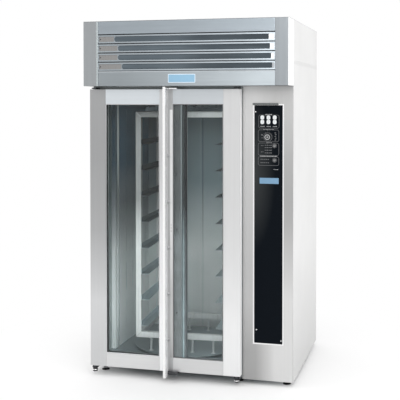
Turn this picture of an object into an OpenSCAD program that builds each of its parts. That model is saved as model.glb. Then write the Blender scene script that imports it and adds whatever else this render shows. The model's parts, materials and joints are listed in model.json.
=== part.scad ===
// Rotating rack oven. A cabinet with two glazed leaves, an extraction hood above them and a control
// column beside them. A tray rack stands on a turntable in the cavity, and a gearmotor over the
// ceiling turns it by its spindle. Millimetres, +Z up. The origin is at floor level under the middle
// of the plan. Inside the modules x runs from the left side, y from the face of the control column
// towards the rear, and z from the floor.

/* [Cabinet] */
// Overall width
cab_w = 1271; // [1265:1:1300]
// Depth of the cabinet behind the column face
cab_d = 995; // [990:1:1030]
// Height of the roof above the floor
cab_h = 2200; // [2195:1:2230]
// Lower edge of the outer panels above the floor
skirt_z = 30; // [25:1:38]
// Underside of the insulated base
base_z = 45; // [42:1:50]
// Upper face of the cavity floor
floor_z = 100; // [95:1:100]
// Lower face of the cavity ceiling
ceiling_z = 1760; // [1750:1:1765]
// Thickness of the outer sheet
sheet = 2; // [1.5:0.5:2.5]

/* [Hood] */
// How far the hood stands out in front of the column
hood_out = 164; // [150:1:180]
// Underside of the hood
hood_z = 1806; // [1804:1:1812]
// Width of the hood's corner posts
post_w = 84; // [70:1:95]
// Height of the rail over the louvres
hood_top_rail = 80; // [60:1:85]
// Height of the rail under the louvres
hood_low_rail = 90; // [80:1:92]
// Number of louvre blades
louvre_count = 4; // [3:1:4]
// Distance from one blade to the next
louvre_pitch = 55.5; // [52:0.5:56]

/* [Doors] */
// Where the column begins and the right leaf ends
column_x = 959; // [955:1:962]
// Middle of the gap between the two leaves
split_x = 485; // [480:1:490]
// Gap between the two leaves
split_gap = 4; // [4:0.5:6]
// Thickness of a leaf
door_t = 47; // [44:1:50]
// Distance from the back of a leaf to the frame that it closes on
door_gap = 14; // [14:0.5:16]
// Lower edge of the leaves
door_z0 = 60; // [58:1:64]
// Upper edge of the leaves
door_z1 = 1788; // [1784:1:1788]
// Width of the stile on the hinge side
hinge_stile = 104; // [95:1:110]
// Width of the left leaf's stile at the meeting edge
left_meet = 29; // [25:1:40]
// Width of the right leaf's stile at the meeting edge
right_meet = 52; // [48:1:56]
// Height of the upper rail of a leaf
door_top_rail = 91; // [80:1:95]
// Height of the lower rail of a leaf
door_low_rail = 86; // [80:1:95]
// Distance of the pivot from the leaf's outer edge
pivot_in = 25; // [22:1:28]

/* [Control column] */
// Left edge of the black fascia
fascia_x0 = 1030; // [1025:1:1035]
// Right edge of the black fascia
fascia_x1 = 1208; // [1200:1:1212]
// Lower edge of the black fascia
fascia_z0 = 255; // [250:1:262]
// Upper edge of the black fascia
fascia_z1 = 1693; // [1688:1:1700]

/* [Rack] */
// Width of the rack
rack_w = 600; // [590:1:602]
// Depth of the rack
rack_d = 576; // [565:1:578]
// Side of the rack's square tube
tube = 36; // [32:1:38]
// Lower edge of the rack's frame
rack_z0 = 200; // [196:1:205]
// Upper edge of the rack's frame
rack_z1 = 1648; // [1645:1:1652]
// How far the rack is turned from square at rest, in degrees
rack_turn = 4; // [0:1:6]
// Number of tray levels
levels = 8; // [6:1:8]
// Height of the lowest runner
first_level = 275; // [265:1:290]
// Distance from one tray level to the next
level_pitch = 166.5; // [162:0.5:168]
// How far a runner's flange stands inwards
runner_out = 46; // [35:1:50]

/* [Rack drive] */
// Module of the two gears
gear_module = 6; // [6:1:6]
// Teeth of the gear on the spindle
gear_teeth = 42; // [42:1:42]
// Teeth of the pinion on the gearmotor
pinion_teeth = 14; // [14:1:14]
// Radius of the rack's spindle
spindle_r = 20; // [18:1:22]

/* [Air] */
// Outer radius of the convection impeller
fan_r = 178; // [165:1:180]
// Blades of the convection impeller
fan_blades = 18; // [12:1:24]
// Outer radius of the exhaust impeller
exhaust_r = 98; // [90:1:100]
// Outer radius of the flue spigot
flue_r = 60; // [60:1:60]
// Top of the flue spigot above the floor
flue_top = 2260; // [2250:1:2275]

/* [Hidden] */
$fn = 64;

steel = [0.74, 0.75, 0.76];
dark_steel = [0.45, 0.47, 0.49];
liner = [0.58, 0.61, 0.61];
bright = [0.9, 0.9, 0.91];
black = [0.06, 0.06, 0.07];
pale = [0.93, 0.93, 0.92];
glass = [0.45, 0.55, 0.56, 0.35];
sky = [0.55, 0.76, 0.92];

run_gap = 0.05;                 // radial clearance of a shaft in its bore
body_gap = 0.3;                 // clearance between faces of two moving bodies
cut = 1;                        // how far a cutter runs past the face that it opens

rear_y = cab_d - 34;            // front face of the rear panel
front_y = -hood_out;            // face of the hood posts
face_y = front_y + 2;           // face of the hood rails
surround_d = 30;                // depth of the frame that the doors close on
jamb_w = 60;                    // width of that frame's sides
lintel_z = 1745;                // lower face of its head
sill_z = 105;                   // upper face of its foot
left_in = 45;                   // inner face of the left wall
rear_in = 870;                  // inner face of the rear wall
rear_out = 930;                 // outer face of the rear wall
baffle_x = 70;                  // inner face of the left air baffle
baffle_y = 200;                 // front edge of the left air baffle
plenum_x = 932;                 // outer face of the right air baffle
plenum_y = 140;                 // front of the heated plenum
bay_x = 1110;                   // left side of the electrical bay
bulk_t = 30;                    // thickness of the plenum wall

door_back = -door_gap;
door_front = door_back - door_t;
pivot_y = door_front + 16;
glass_z0 = door_z0 + door_low_rail;
glass_z1 = door_z1 - door_top_rail;
rebate = 8;                     // how far the glass reaches behind the frame's lip
lip = 4;                        // thickness of that lip
left_x1 = split_x - split_gap / 2;
right_x0 = split_x + split_gap / 2;
left_g0 = hinge_stile;
left_g1 = left_x1 - left_meet;
right_g0 = right_x0 + right_meet;
right_g1 = column_x - hinge_stile;
latch_x1 = 618;                 // inner edge of the latch stile
pin_r = 8;

rack_x = 508;
rack_y = 450;
gear_z = 1836;                  // lower face of the driven gear
gear_h = 24;
pinion_x = rack_x + gear_module * (gear_teeth + pinion_teeth) / 2;
disc_z = 112;                   // lower face of the turntable's disc

fan_y = 505;
fan_z = 930;
flue_x = 985;
flue_y = 660;
scroll_x = 905;
scroll_z = 1970;
scroll_y0 = flue_y - flue_r;
scroll_y1 = flue_y + flue_r;
duct_top = 2123;                // top of the fan case, where the flue begins
damper_z = 2190;

knob_at = [1114.5, 1500];
start_at = [1156, 1448];
stop_at = [1156, 1362];

function lx(x) = x - cab_w / 2;
function fy(y) = y + (hood_out - cab_d) / 2;
function polar(r, a) = [r * cos(a), r * sin(a)];

// ---- shapes that repeat ----

module at(x, y, z) {
    translate([lx(x), fy(y), z]) children();
}

module slab(x0, x1, y0, y1, z0, z1) {
    at(x0, y0, z0) cube([x1 - x0, y1 - y0, z1 - z0]);
}

module rod_x(x0, x1, y, z, r) {
    at(x0, y, z) rotate([0, 90, 0]) cylinder(h = x1 - x0, r = r);
}

module rod_y(x, y0, y1, z, r) {
    at(x, y0, z) rotate([-90, 0, 0]) cylinder(h = y1 - y0, r = r);
}

module rod_z(x, y, z0, z1, r) {
    at(x, y, z0) cylinder(h = z1 - z0, r = r);
}

// Flat ring round an upright opening: outer edges, then the width of the ring on each side
module upright_ring(x0, x1, y0, y1, z0, z1, t) {
    difference() {
        slab(x0, x1, y0, y1, z0, z1);
        slab(x0 + t, x1 - t, y0 - cut, y1 + cut, z0 + t, z1 - t);
    }
}

// Everything on the rack is drawn square and turned with it
module on_rack() {
    at(rack_x, rack_y, 0) rotate([0, 0, rack_turn]) children();
}

module rack_block(x0, x1, y0, y1, z0, z1) {
    translate([x0, y0, z0]) cube([x1 - x0, y1 - y0, z1 - z0]);
}

// One tooth of a stub involute gear, as points round the tooth that stands at angle a.
// The flank leaves the base circle at half_base degrees from the tooth's middle.
function flank_r(rb, ra, k, n) = rb + (ra - rb) * k / n;
function flank_turn(rb, r) = let (t = sqrt(pow(r / rb, 2) - 1)) t * 180 / PI - atan(t);
function tooth(a, rr, rb, ra, half_base, n = 3) = concat(
    [polar(rr, a - half_base)],
    [for (k = [0 : n]) let (r = flank_r(rb, ra, k, n)) polar(r, a - half_base + flank_turn(rb, r))],
    [for (k = [n : -1 : 0]) let (r = flank_r(rb, ra, k, n)) polar(r, a + half_base - flank_turn(rb, r))],
    [polar(rr, a + half_base)]
);

// Stub-toothed spur gear. The teeth are thinned by the backlash on each flank.
module gear_outline(teeth, first_angle, backlash = 0.25) {
    pitch_r = gear_module * teeth / 2;
    base_r = pitch_r * cos(20);
    tip_r = pitch_r + 0.8 * gear_module;
    root_r = min(pitch_r - 1.05 * gear_module, base_r - 0.5);
    half_pitch = 90 / teeth - backlash / pitch_r * 180 / PI;
    half_base = half_pitch + flank_turn(base_r, pitch_r);
    polygon([for (i = [0 : teeth - 1])
        for (p = tooth(first_angle + 360 * i / teeth, root_r, base_r, tip_r, half_base)) p]);
}

// ---- cabinet ----

module levelling_feet() {
    color(black)
        for (x = [50, column_x - 30, cab_w - 50], y = [70, cab_d - 70]) {
            rod_z(x, y, 0, 8, 24);
            rod_z(x, y, 8, base_z, 8);
            at(x, y, base_z - 10) cylinder(h = 10, r = 14, $fn = 6);
        }
}

module base_slab() {
    color(steel) difference() {
        union() {
            slab(sheet, bay_x, surround_d, rear_y, base_z, floor_z);
            slab(bay_x, cab_w - sheet, surround_d, rear_y, base_z, base_z + 3);
        }
        rod_z(rack_x, rack_y, 58, floor_z + cut, 45);
    }
}

// A side sheet with its folds along the rear and lower edges. The sheet stands at x0, and the
// folds reach inwards from it.
module side_panel(x0, fold_x0, fold_x1) {
    slab(x0, x0 + sheet, 0, cab_d, skirt_z, cab_h - sheet);
    slab(fold_x0, fold_x1, cab_d - sheet, cab_d, skirt_z, cab_h - sheet);
    slab(fold_x0, fold_x1, surround_d, cab_d - sheet, skirt_z, skirt_z + sheet);
}

module left_side_panel() {
    color(pale) side_panel(0, sheet, 31);
}

module right_side_panel() {
    color(pale) difference() {
        side_panel(cab_w - sheet, cab_w - 31, cab_w - sheet);
        slab(cab_w - 0.8, cab_w + cut, 60, cab_d + cut, 1953, 1957);
    }
}

module rear_panel() {
    color(steel) difference() {
        slab(sheet, cab_w - sheet, rear_y, rear_y + sheet, base_z, cab_h - sheet);
        rod_y(1190, rear_y - cut, rear_y + 3, 1930, 12);
        for (i = [0 : 9])
            slab(1130, 1240, rear_y - cut, rear_y + 3, 560 + 34 * i, 570 + 34 * i);
        for (i = [0 : 6])
            slab(140, 420, rear_y - cut, rear_y + 3, 1880 + 34 * i, 1890 + 34 * i);
    }
}

module roof_panel() {
    color(steel) difference() {
        union() {
            slab(0, cab_w, 0, cab_d, cab_h - sheet, cab_h);
            slab(31, cab_w - 31, cab_d - sheet, cab_d, cab_h - 32, cab_h - sheet);
        }
        rod_z(flue_x, flue_y, cab_h - 3, cab_h + cut, flue_r + 2);
    }
}

module left_wall() {
    color(liner) slab(sheet, left_in, surround_d, rear_out, floor_z, ceiling_z);
}

module rear_wall() {
    color(liner) {
        slab(left_in, bay_x, rear_in, rear_out, floor_z, ceiling_z);
        slab(461, 481, rear_in - 1.5, rear_in, floor_z, ceiling_z);
        slab(baffle_x, plenum_x - 2, rear_in - 1.5, rear_in, 200, 214);
    }
}

module ceiling_slab() {
    color(liner) difference() {
        slab(sheet, bay_x, surround_d, rear_out, ceiling_z, hood_z);
        rod_z(rack_x, rack_y, ceiling_z - cut, hood_z + cut, spindle_r + 4);
    }
}

// Insulated wall that folds round the plenum: beside the right jamb, across its front and down
// the side of the electrical bay
module plenum_wall() {
    color(liner) difference() {
        union() {
            slab(plenum_x, column_x + sheet, surround_d, plenum_y - bulk_t, floor_z, ceiling_z);
            slab(plenum_x, bay_x, plenum_y - bulk_t, plenum_y, floor_z, ceiling_z);
            slab(bay_x - bulk_t, bay_x, plenum_y, rear_in, floor_z, ceiling_z);
        }
        rod_x(bay_x - bulk_t - cut, bay_x + cut, fan_y, fan_z, 16);
        rod_x(bay_x - bulk_t - cut, bay_x + cut, fan_y, 1200, 6);
    }
}

module left_air_baffle() {
    color(liner) difference() {
        union() {
            slab(baffle_x - 2, baffle_x, baffle_y, rear_in, floor_z, ceiling_z);
            slab(left_in, baffle_x, baffle_y - 2, baffle_y, floor_z, ceiling_z);
        }
        for (y = [270 : 130 : 790], row = [0 : 5])
            slab(baffle_x - 3, baffle_x + cut, y, y + 10, 190 + 255 * row, 380 + 255 * row);
    }
}

module right_air_baffle() {
    color(liner) difference() {
        slab(plenum_x - 2, plenum_x, plenum_y, rear_in, floor_z, ceiling_z);
        rod_x(plenum_x - 3, plenum_x + cut, fan_y, fan_z, 150);
        for (y = [180, 240, 760, 820], row = [0 : 5])
            slab(plenum_x - 3, plenum_x + cut, y, y + 10, 190 + 255 * row, 380 + 255 * row);
    }
}

module door_surround() {
    color(steel) {
        slab(sheet, sheet + jamb_w, 0, surround_d, base_z, hood_z);
        slab(column_x - jamb_w, column_x, 0, surround_d, base_z, hood_z);
        slab(sheet + jamb_w, column_x - jamb_w, 0, surround_d, lintel_z, hood_z);
        slab(sheet + jamb_w, column_x - jamb_w, 0, surround_d, base_z, sill_z);
    }
}

// Rubber bulb in a carrier strip, all round the opening
module door_gasket() {
    bulb_r = 4.5;
    bulb_y = -8.5;
    x0 = 56;
    x1 = column_x - 54;
    z0 = 94;
    z1 = 1756;
    color(black) {
        for (x = [x0, x1]) {
            rod_z(x, bulb_y, z0, z1, bulb_r);
            slab(x - 4, x + 4, -6, 0, z0 - 4, z1 + 4);
        }
        for (z = [z0, z1]) {
            rod_x(x0, x1, bulb_y, z, bulb_r);
            slab(x0 + 4, x1 - 4, -6, 0, z - 4, z + 4);
            for (x = [x0, x1])
                at(x, bulb_y, z) sphere(r = bulb_r);
        }
    }
}

// Arm with a bore for a leaf's pivot pin. The lower arms carry a cup that takes the pin's end.
module hinge_arm(x, z0, z1, cup_z) {
    difference() {
        union() {
            slab(x - 18, x + 18, pivot_y, 0, z0, z1);
            rod_z(x, pivot_y, z0, z1, 18);
            if (cup_z < z0) rod_z(x, pivot_y, cup_z, z0, 15);
        }
        rod_z(x, pivot_y, cup_z < z0 ? cup_z + 4 : z0 - cut, z1 + cut, pin_r + run_gap);
    }
}

module door_hinge_brackets() {
    color(dark_steel)
        for (x = [pivot_in, column_x - pivot_in]) {
            hinge_arm(x, door_z0 - 14, door_z0 - 6, 22);
            hinge_arm(x, door_z1 + 3, door_z1 + 11, door_z1 + 3);
        }
}

// ---- hood ----

module hood_shell() {
    rail_back = face_y + 30;
    post_back = front_y + 40;
    color(dark_steel) {
        for (x = [0, cab_w - post_w])
            slab(x, x + post_w, front_y, post_back, hood_z, cab_h - sheet);
        slab(post_w, cab_w - post_w, face_y, rail_back, cab_h - hood_top_rail, cab_h - sheet);
        slab(post_w, cab_w - post_w, face_y, rail_back, hood_z, hood_z + hood_low_rail);
        for (x = [0, cab_w - sheet])
            slab(x, x + sheet, post_back, 0, hood_z, cab_h - sheet);
        slab(0, cab_w, front_y, 0, cab_h - sheet, cab_h);
        difference() {
            slab(sheet, cab_w - sheet, rail_back, 0, hood_z, hood_z + sheet);
            slab(150, 1121, -112, -18, hood_z - cut, hood_z + 3);
        }
    }
}

// One blade is a folded sheet: a lip, a sloped side, a sunk field, a sloped side and a lip
module louvre_blade() {
    blade_h = 46;
    lip_h = 5;
    slope = 4;
    sunk = 11;
    t = 2;
    front = [[0, 0], [0, -lip_h], [sunk, -lip_h - slope], [sunk, slope + lip_h - blade_h],
             [0, lip_h - blade_h], [0, -blade_h]];
    inset = [0, 1.4, 1.4, -1.4, -1.4, 0];
    back = [for (i = [len(front) - 1 : -1 : 0]) front[i] + [t, inset[i]]];
    rotate([90, 0, 90]) linear_extrude(height = cab_w - 2 * post_w) polygon(concat(front, back));
}

module hood_louvres() {
    color(dark_steel)
        for (i = [0 : louvre_count - 1])
            at(post_w, face_y + 1, cab_h - hood_top_rail - 6 - louvre_pitch * i) louvre_blade();
}

// Grease filter of upright baffles in a frame, lying in the hood's underside
module hood_filter() {
    x0 = 150;
    x1 = 1121;
    y0 = -112;
    y1 = -18;
    color(bright) {
        difference() {
            slab(x0, x1, y0, y1, hood_z, hood_z + 14);
            slab(x0 + 12, x1 - 12, y0 + 10, y1 - 10, hood_z - cut, hood_z + 15);
        }
        for (i = [0 : 21])
            slab(x0 + 20 + 43 * i, x0 + 48 + 43 * i, y0 + 10, y1 - 10, hood_z + 3, hood_z + 6);
        for (i = [0 : 20])
            slab(x0 + 43 + 43 * i, x0 + 68 + 43 * i, y0 + 10, y1 - 10, hood_z + 9, hood_z + 12);
    }
}

module blank_plates() {
    color(sky) {
        slab(541, 709, front_y, face_y, 1825, 1876);
        slab(1065, 1181, -1, 0, 1220, 1255);
    }
}

// ---- control column ----

module column_front() {
    color(steel) {
        difference() {
            slab(column_x, cab_w - sheet, 0, sheet, skirt_z, hood_z);
            slab(fascia_x0, fascia_x1, -cut, sheet + cut, fascia_z0, fascia_z1);
        }
        slab(column_x, column_x + sheet, sheet, surround_d, skirt_z, hood_z);
        slab(column_x + sheet, cab_w - sheet, sheet, 25, skirt_z, skirt_z + sheet);
    }
}

module fascia_trim() {
    color(bright) {
        upright_ring(fascia_x0 - 5, fascia_x1 + 5, -3, 0, fascia_z0 - 5, fascia_z1 + 5, 8);
        slab(fascia_x0 - 6, fascia_x1 - 28, -17, -3, fascia_z1 - 2, fascia_z1 + 11);
    }
}

module control_fascia() {
    color(black) difference() {
        slab(fascia_x0 + 0.5, fascia_x1 - 0.5, 0, 4, fascia_z0 + 0.5, fascia_z1 - 0.5);
        rod_y(knob_at[0], -cut, 5, knob_at[1], 3.6);
        for (p = [start_at, stop_at])
            rod_y(p[0], -cut, 5, p[1], 10 + body_gap);
    }
}

// Each window shows two round digits, one over the other
module display_windows() {
    color("white")
        for (x = [1081, 1118.5, 1156.5], z = [1590, 1617]) {
            rod_y(x, -1.2, 0, z, 12.5);
            slab(x - 12.5, x + 12.5, -1.2, 0, z - 6, z + 6);
        }
}

module control_board() {
    board_y = 28;
    color([0.1, 0.35, 0.2]) difference() {
        union() {
            slab(1045, 1195, board_y, board_y + 2, 1290, 1660);
            for (x = [1052, 1188], z = [1300, 1650])
                rod_y(x, 4, board_y, z, 3.5);
            slab(1064, 1174, 12, board_y, 1574, 1633);
            slab(knob_at[0] - 11, knob_at[0] + 11, 12, board_y, knob_at[1] - 11, knob_at[1] + 11);
            for (p = [start_at, stop_at])
                slab(p[0] - 6, p[0] + 6, 22, board_y, p[1] - 6, p[1] + 6);
            for (i = [0 : 3])
                slab(1060 + 34 * i, 1086 + 34 * i, board_y + 2, board_y + 22, 1310, 1346);
            slab(1060, 1130, board_y + 2, board_y + 52, 1380, 1440);
            for (i = [0 : 2])
                rod_y(1150 + 14 * i, board_y + 2, board_y + 26, 1520, 6);
        }
        rod_y(knob_at[0], 11, 20, knob_at[1], 3 + run_gap);
    }
}

module contactor_rail() {
    color([0.2, 0.2, 0.22]) {
        slab(bay_x, bay_x + 8, 240, 520, 560, 595);
        for (i = [0 : 3])
            slab(bay_x + 8, bay_x + 82, 250 + 52 * i, 296 + 52 * i, 536, 618);
        for (i = [0 : 4])
            slab(bay_x + 8, bay_x + 50, 460 + 11 * i, 469 + 11 * i, 550, 606);
    }
}

// ---- air and steam ----

// Sheathed ring elements round the impeller, each with two leads back to the terminal plate
module heater_rings() {
    ring_r = 212;
    rod_r = 4.2;
    plate_x = bay_x - bulk_t;
    color(dark_steel) {
        for (i = [0 : 2]) {
            x = 975 + 26 * i;
            at(x, fan_y, fan_z) rotate([0, 90, 0]) rotate_extrude() translate([ring_r, 0]) circle(r = rod_r);
            for (side = [-1, 1]) {
                lead = polar(ring_r, 90 + side * (6 + 9 * i));
                rod_x(x, plate_x - 4, fan_y + lead[0], fan_z + lead[1], rod_r);
            }
        }
        slab(plate_x - 4, plate_x, fan_y - 105, fan_y + 105, fan_z + 180, fan_z + 226);
        for (a = [210, 330]) {
            foot = polar(ring_r, a);
            slab(968, plate_x, fan_y + foot[0] - 8, fan_y + foot[0] + 8,
                 fan_z + foot[1] - 1.5, fan_z + foot[1] + 1.5);
        }
    }
}

// Rolled inlet ring behind the right baffle, and the wire guard in its mouth
module fan_shroud() {
    color(bright) at(plenum_x, fan_y, fan_z) rotate([0, 90, 0]) {
        rotate_extrude() polygon([[150, 0], [172, 0], [172, 2], [154, 3], [147, 8], [143, 15], [142, 24],
                                  [140, 24], [141, 14.5], [145.5, 6.5]]);
        for (r = [35, 70, 105])
            translate([0, 0, 3]) rotate_extrude() translate([r, 0]) square([3, 2]);
        for (a = [0 : 60 : 120])
            rotate([0, 0, a]) translate([-151, -1.5, 0]) cube([302, 3, 3]);
    }
}

module fan_motor() {
    color(dark_steel) difference() {
        union() {
            rod_x(bay_x, bay_x + 6, fan_y, fan_z, 88);
            at(bay_x + 6, fan_y, fan_z) rotate([0, 90, 0]) rotate_extrude() polygon(concat(
                [[0, 0], [48, 0], [62, 8]],
                [for (i = [0 : 7]) for (p = [[62, 14 + 9 * i], [70, 14 + 9 * i], [70, 18 + 9 * i],
                                            [62, 18 + 9 * i]]) p],
                [[66, 90], [66, 118], [52, 124], [0, 124]]));
            slab(bay_x + 30, bay_x + 80, fan_y - 20, fan_y + 20, fan_z + 60, fan_z + 92);
        }
        rod_x(bay_x - cut, bay_x + 32, fan_y, fan_z, 12 + run_gap);
        for (a = [45 : 90 : 315]) {
            hole = polar(78, a);
            rod_x(bay_x - cut, bay_x + 7, fan_y + hole[0], fan_z + hole[1], 4);
        }
    }
}

// Backward-curved blades between a backplate and a front ring, on a hub and a shaft
module impeller(r, w, count, eye_r, shaft_r, shaft_l) {
    root = eye_r + 2;
    step = (r - 2 - root) / 4;
    blade = concat([for (k = [0 : 4]) polar(root + step * k, 9 * k - 2 * k * k)],
                   [for (k = [4 : -1 : 0]) polar(root + step * k, 9 * k - 2 * k * k + 1.6)]);
    cylinder(h = 3, r = r);
    translate([0, 0, 3]) cylinder(h = 26, r = shaft_r + 10);
    translate([0, 0, -shaft_l]) cylinder(h = shaft_l, r = shaft_r);
    for (i = [0 : count - 1])
        rotate([0, 0, 360 * i / count]) translate([0, 0, 3]) linear_extrude(height = w) polygon(blade);
    translate([0, 0, 3 + w]) difference() {
        cylinder(h = 3, r = r);
        translate([0, 0, -cut]) cylinder(h = 5, r = eye_r);
    }
}

module convection_impeller() {
    color(bright) at(1050, fan_y, fan_z) rotate([0, -90, 0])
        impeller(fan_r, 70, fan_blades, 122, 12, 88);
}

// Water line from its valve in the bay, through the plenum wall, to a nozzle over the impeller
module steam_pipe() {
    pipe_z = 1200;
    color([0.72, 0.55, 0.3]) {
        rod_x(1000, bay_x + 40, fan_y, pipe_z, 5);
        at(1000, fan_y, pipe_z) sphere(r = 5);
        rod_z(1000, fan_y, pipe_z - 34, pipe_z, 5);
        rod_z(1000, fan_y, pipe_z - 40, pipe_z - 34, 8);
        slab(bay_x + 40, bay_x + 80, fan_y - 22, fan_y + 22, pipe_z - 20, pipe_z + 20);
        rod_z(bay_x + 60, fan_y, pipe_z + 20, pipe_z + 66, 17);
        slab(bay_x, bay_x + 40, fan_y - 14, fan_y + 14, pipe_z - 20, pipe_z - 16);
    }
}

module water_inlet() {
    color([0.75, 0.6, 0.3]) difference() {
        union() {
            at(1190, rear_y + sheet, 350) rotate([-90, 0, 0]) cylinder(h = 9, r = 20, $fn = 6);
            rod_y(1190, rear_y + 11, rear_y + 32, 350, 13.2);
        }
        rod_y(1190, rear_y + 12, rear_y + 33, 350, 9);
    }
}

module drain_stub() {
    color(bright) difference() {
        union() {
            rod_y(1040, rear_y + sheet, rear_y + 6, 74, 25);
            rod_y(1040, rear_y + 6, rear_y + 32, 74, 16);
        }
        rod_y(1040, rear_y + 8, rear_y + 33, 74, 14);
    }
}

module cable_gland() {
    color([0.2, 0.2, 0.21]) difference() {
        union() {
            at(1190, rear_y - 8, 1930) rotate([-90, 0, 0]) cylinder(h = 8, r = 18, $fn = 6);
            rod_y(1190, rear_y, rear_y + sheet, 1930, 11.9);
            at(1190, rear_y + sheet, 1930) rotate([-90, 0, 0]) cylinder(h = 12, r = 18, $fn = 6);
            at(1190, rear_y + 14, 1930) rotate([-90, 0, 0]) cylinder(h = 18, r1 = 15, r2 = 12);
        }
        rod_y(1190, rear_y - 9, rear_y + 33, 1930, 9);
    }
}

// Round ceiling lamp: a collar and a thick domed glass
module cavity_lamp() {
    color(bright) at(150, 120, 1742) rotate_extrude()
        polygon([[0, -12], [18, -10], [30, -4], [36, 4], [44, 4], [46, 8], [46, 18], [0, 18]]);
}

// Spiral case: the wall's radius grows round the impeller up to the outlet
module exhaust_fan_case() {
    function wall(a, t) = 112 + 28 * a / 270 - t;
    wall_t = 2;
    color(steel) {
        difference() {
            union() {
                at(scroll_x, scroll_y1, scroll_z) rotate([90, 0, 0])
                    linear_extrude(height = scroll_y1 - scroll_y0)
                        polygon([for (a = [0 : 15 : 360]) polar(wall(min(a, 270), 0), a * -1 + 90)]);
                slab(flue_x - flue_r, flue_x + flue_r, scroll_y0, scroll_y1, scroll_z, duct_top);
                for (x = [scroll_x - 60, scroll_x + 56])
                    slab(x, x + 4, scroll_y0, scroll_y1, hood_z, scroll_z - 90);
            }
            at(scroll_x, scroll_y1 - wall_t, scroll_z) rotate([90, 0, 0])
                linear_extrude(height = scroll_y1 - scroll_y0 - 2 * wall_t)
                    polygon([for (a = [0 : 15 : 360]) polar(wall(min(a, 270), wall_t), a * -1 + 90)]);
            slab(flue_x - flue_r + wall_t, flue_x + flue_r - wall_t, scroll_y0 + wall_t,
                 scroll_y1 - wall_t, scroll_z, duct_top - wall_t);
            rod_z(flue_x, flue_y, duct_top - 3, duct_top + cut, flue_r - 2.5);
            rod_y(scroll_x, scroll_y0 - cut, scroll_y0 + 3, scroll_z, 72);
            rod_y(scroll_x, scroll_y1 - 3, scroll_y1 + cut, scroll_z, 12);
        }
    }
}

module exhaust_motor() {
    color(dark_steel) difference() {
        union() {
            rod_y(scroll_x, scroll_y1, scroll_y1 + 5, scroll_z, 66);
            rod_y(scroll_x, scroll_y1 + 5, scroll_y1 + 95, scroll_z, 52);
            rod_y(scroll_x, scroll_y1 + 95, scroll_y1 + 104, scroll_z, 44);
        }
        rod_y(scroll_x, scroll_y1 - cut, scroll_y1 + 24, scroll_z, 8 + run_gap);
    }
}

module exhaust_impeller() {
    color(bright) at(scroll_x, scroll_y1 - 14, scroll_z) rotate([90, 0, 0])
        impeller(exhaust_r, 72, 14, 70, 8, 36);
}

module flue_spigot() {
    color(steel) difference() {
        union() {
            rod_z(flue_x, flue_y, duct_top, flue_top, flue_r);
            rod_z(flue_x, flue_y, cab_h, cab_h + 3, flue_r + 22);
        }
        rod_z(flue_x, flue_y, duct_top - cut, flue_top + cut, flue_r - 2);
        rod_x(flue_x - 70, flue_x + 70, flue_y, damper_z, 4 + run_gap);
        for (a = [45 : 90 : 315]) {
            hole = polar(flue_r + 13, a);
            rod_z(flue_x + hole[0], flue_y + hole[1], cab_h - cut, cab_h + 4, 3);
        }
    }
}

module damper_flap() {
    color(bright) {
        rod_z(flue_x, flue_y, damper_z - 1, damper_z + 1, flue_r - 3.5);
        rod_x(flue_x - 66, flue_x + 84, flue_y, damper_z, 4);
        slab(flue_x + 80, flue_x + 84, flue_y - 5, flue_y + 40, damper_z - 5, damper_z + 4);
    }
}

// ---- rack drive ----

module floor_pivot() {
    color(dark_steel) difference() {
        union() {
            rod_z(rack_x, rack_y, 58, floor_z, 44.9);
            rod_z(rack_x, rack_y, floor_z, floor_z + 5, 62);
        }
        rod_z(rack_x, rack_y, 64, floor_z + 6, 15 + run_gap);
    }
}

module spindle_bearing() {
    color(dark_steel) {
        difference() {
            union() {
                rod_z(rack_x, rack_y, hood_z, hood_z + 9, 64);
                at(rack_x, rack_y, hood_z + 9) cylinder(h = 17, r1 = 44, r2 = 38);
            }
            rod_z(rack_x, rack_y, hood_z - cut, hood_z + 27, spindle_r + run_gap);
        }
        for (a = [45 : 90 : 315]) {
            bolt = polar(54, a);
            at(rack_x + bolt[0], rack_y + bolt[1], hood_z + 9) cylinder(h = 5, r = 6, $fn = 6);
        }
    }
}

// The spindle turns the rack. A collar carries it on the bearing, and a nut holds the gear down.
module rack_spindle() {
    color(bright) {
        rod_z(rack_x, rack_y, 1676, gear_z + gear_h + 18, spindle_r);
        rod_z(rack_x, rack_y, hood_z + 26 + body_gap, gear_z, 30);
        at(rack_x, rack_y, gear_z + gear_h) rotate([0, 0, rack_turn]) cylinder(h = 12, r = 32, $fn = 6);
    }
}

module driven_gear() {
    color(dark_steel) at(rack_x, rack_y, gear_z) difference() {
        linear_extrude(height = gear_h) gear_outline(gear_teeth, 0);
        translate([0, 0, -cut]) cylinder(h = gear_h + 2, r = spindle_r + 0.02);
        for (a = [30 : 60 : 330])
            translate([78 * cos(a), 78 * sin(a), -cut]) cylinder(h = gear_h + 2, r = 26);
    }
}

// The pinion's first gap faces the gear's first tooth
module drive_pinion() {
    color(bright) at(pinion_x, rack_y, gear_z - 2) {
        linear_extrude(height = gear_h + 4) gear_outline(pinion_teeth, 180 + 180 / pinion_teeth);
        cylinder(h = gear_h + 38, r = 10);
    }
}

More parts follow.
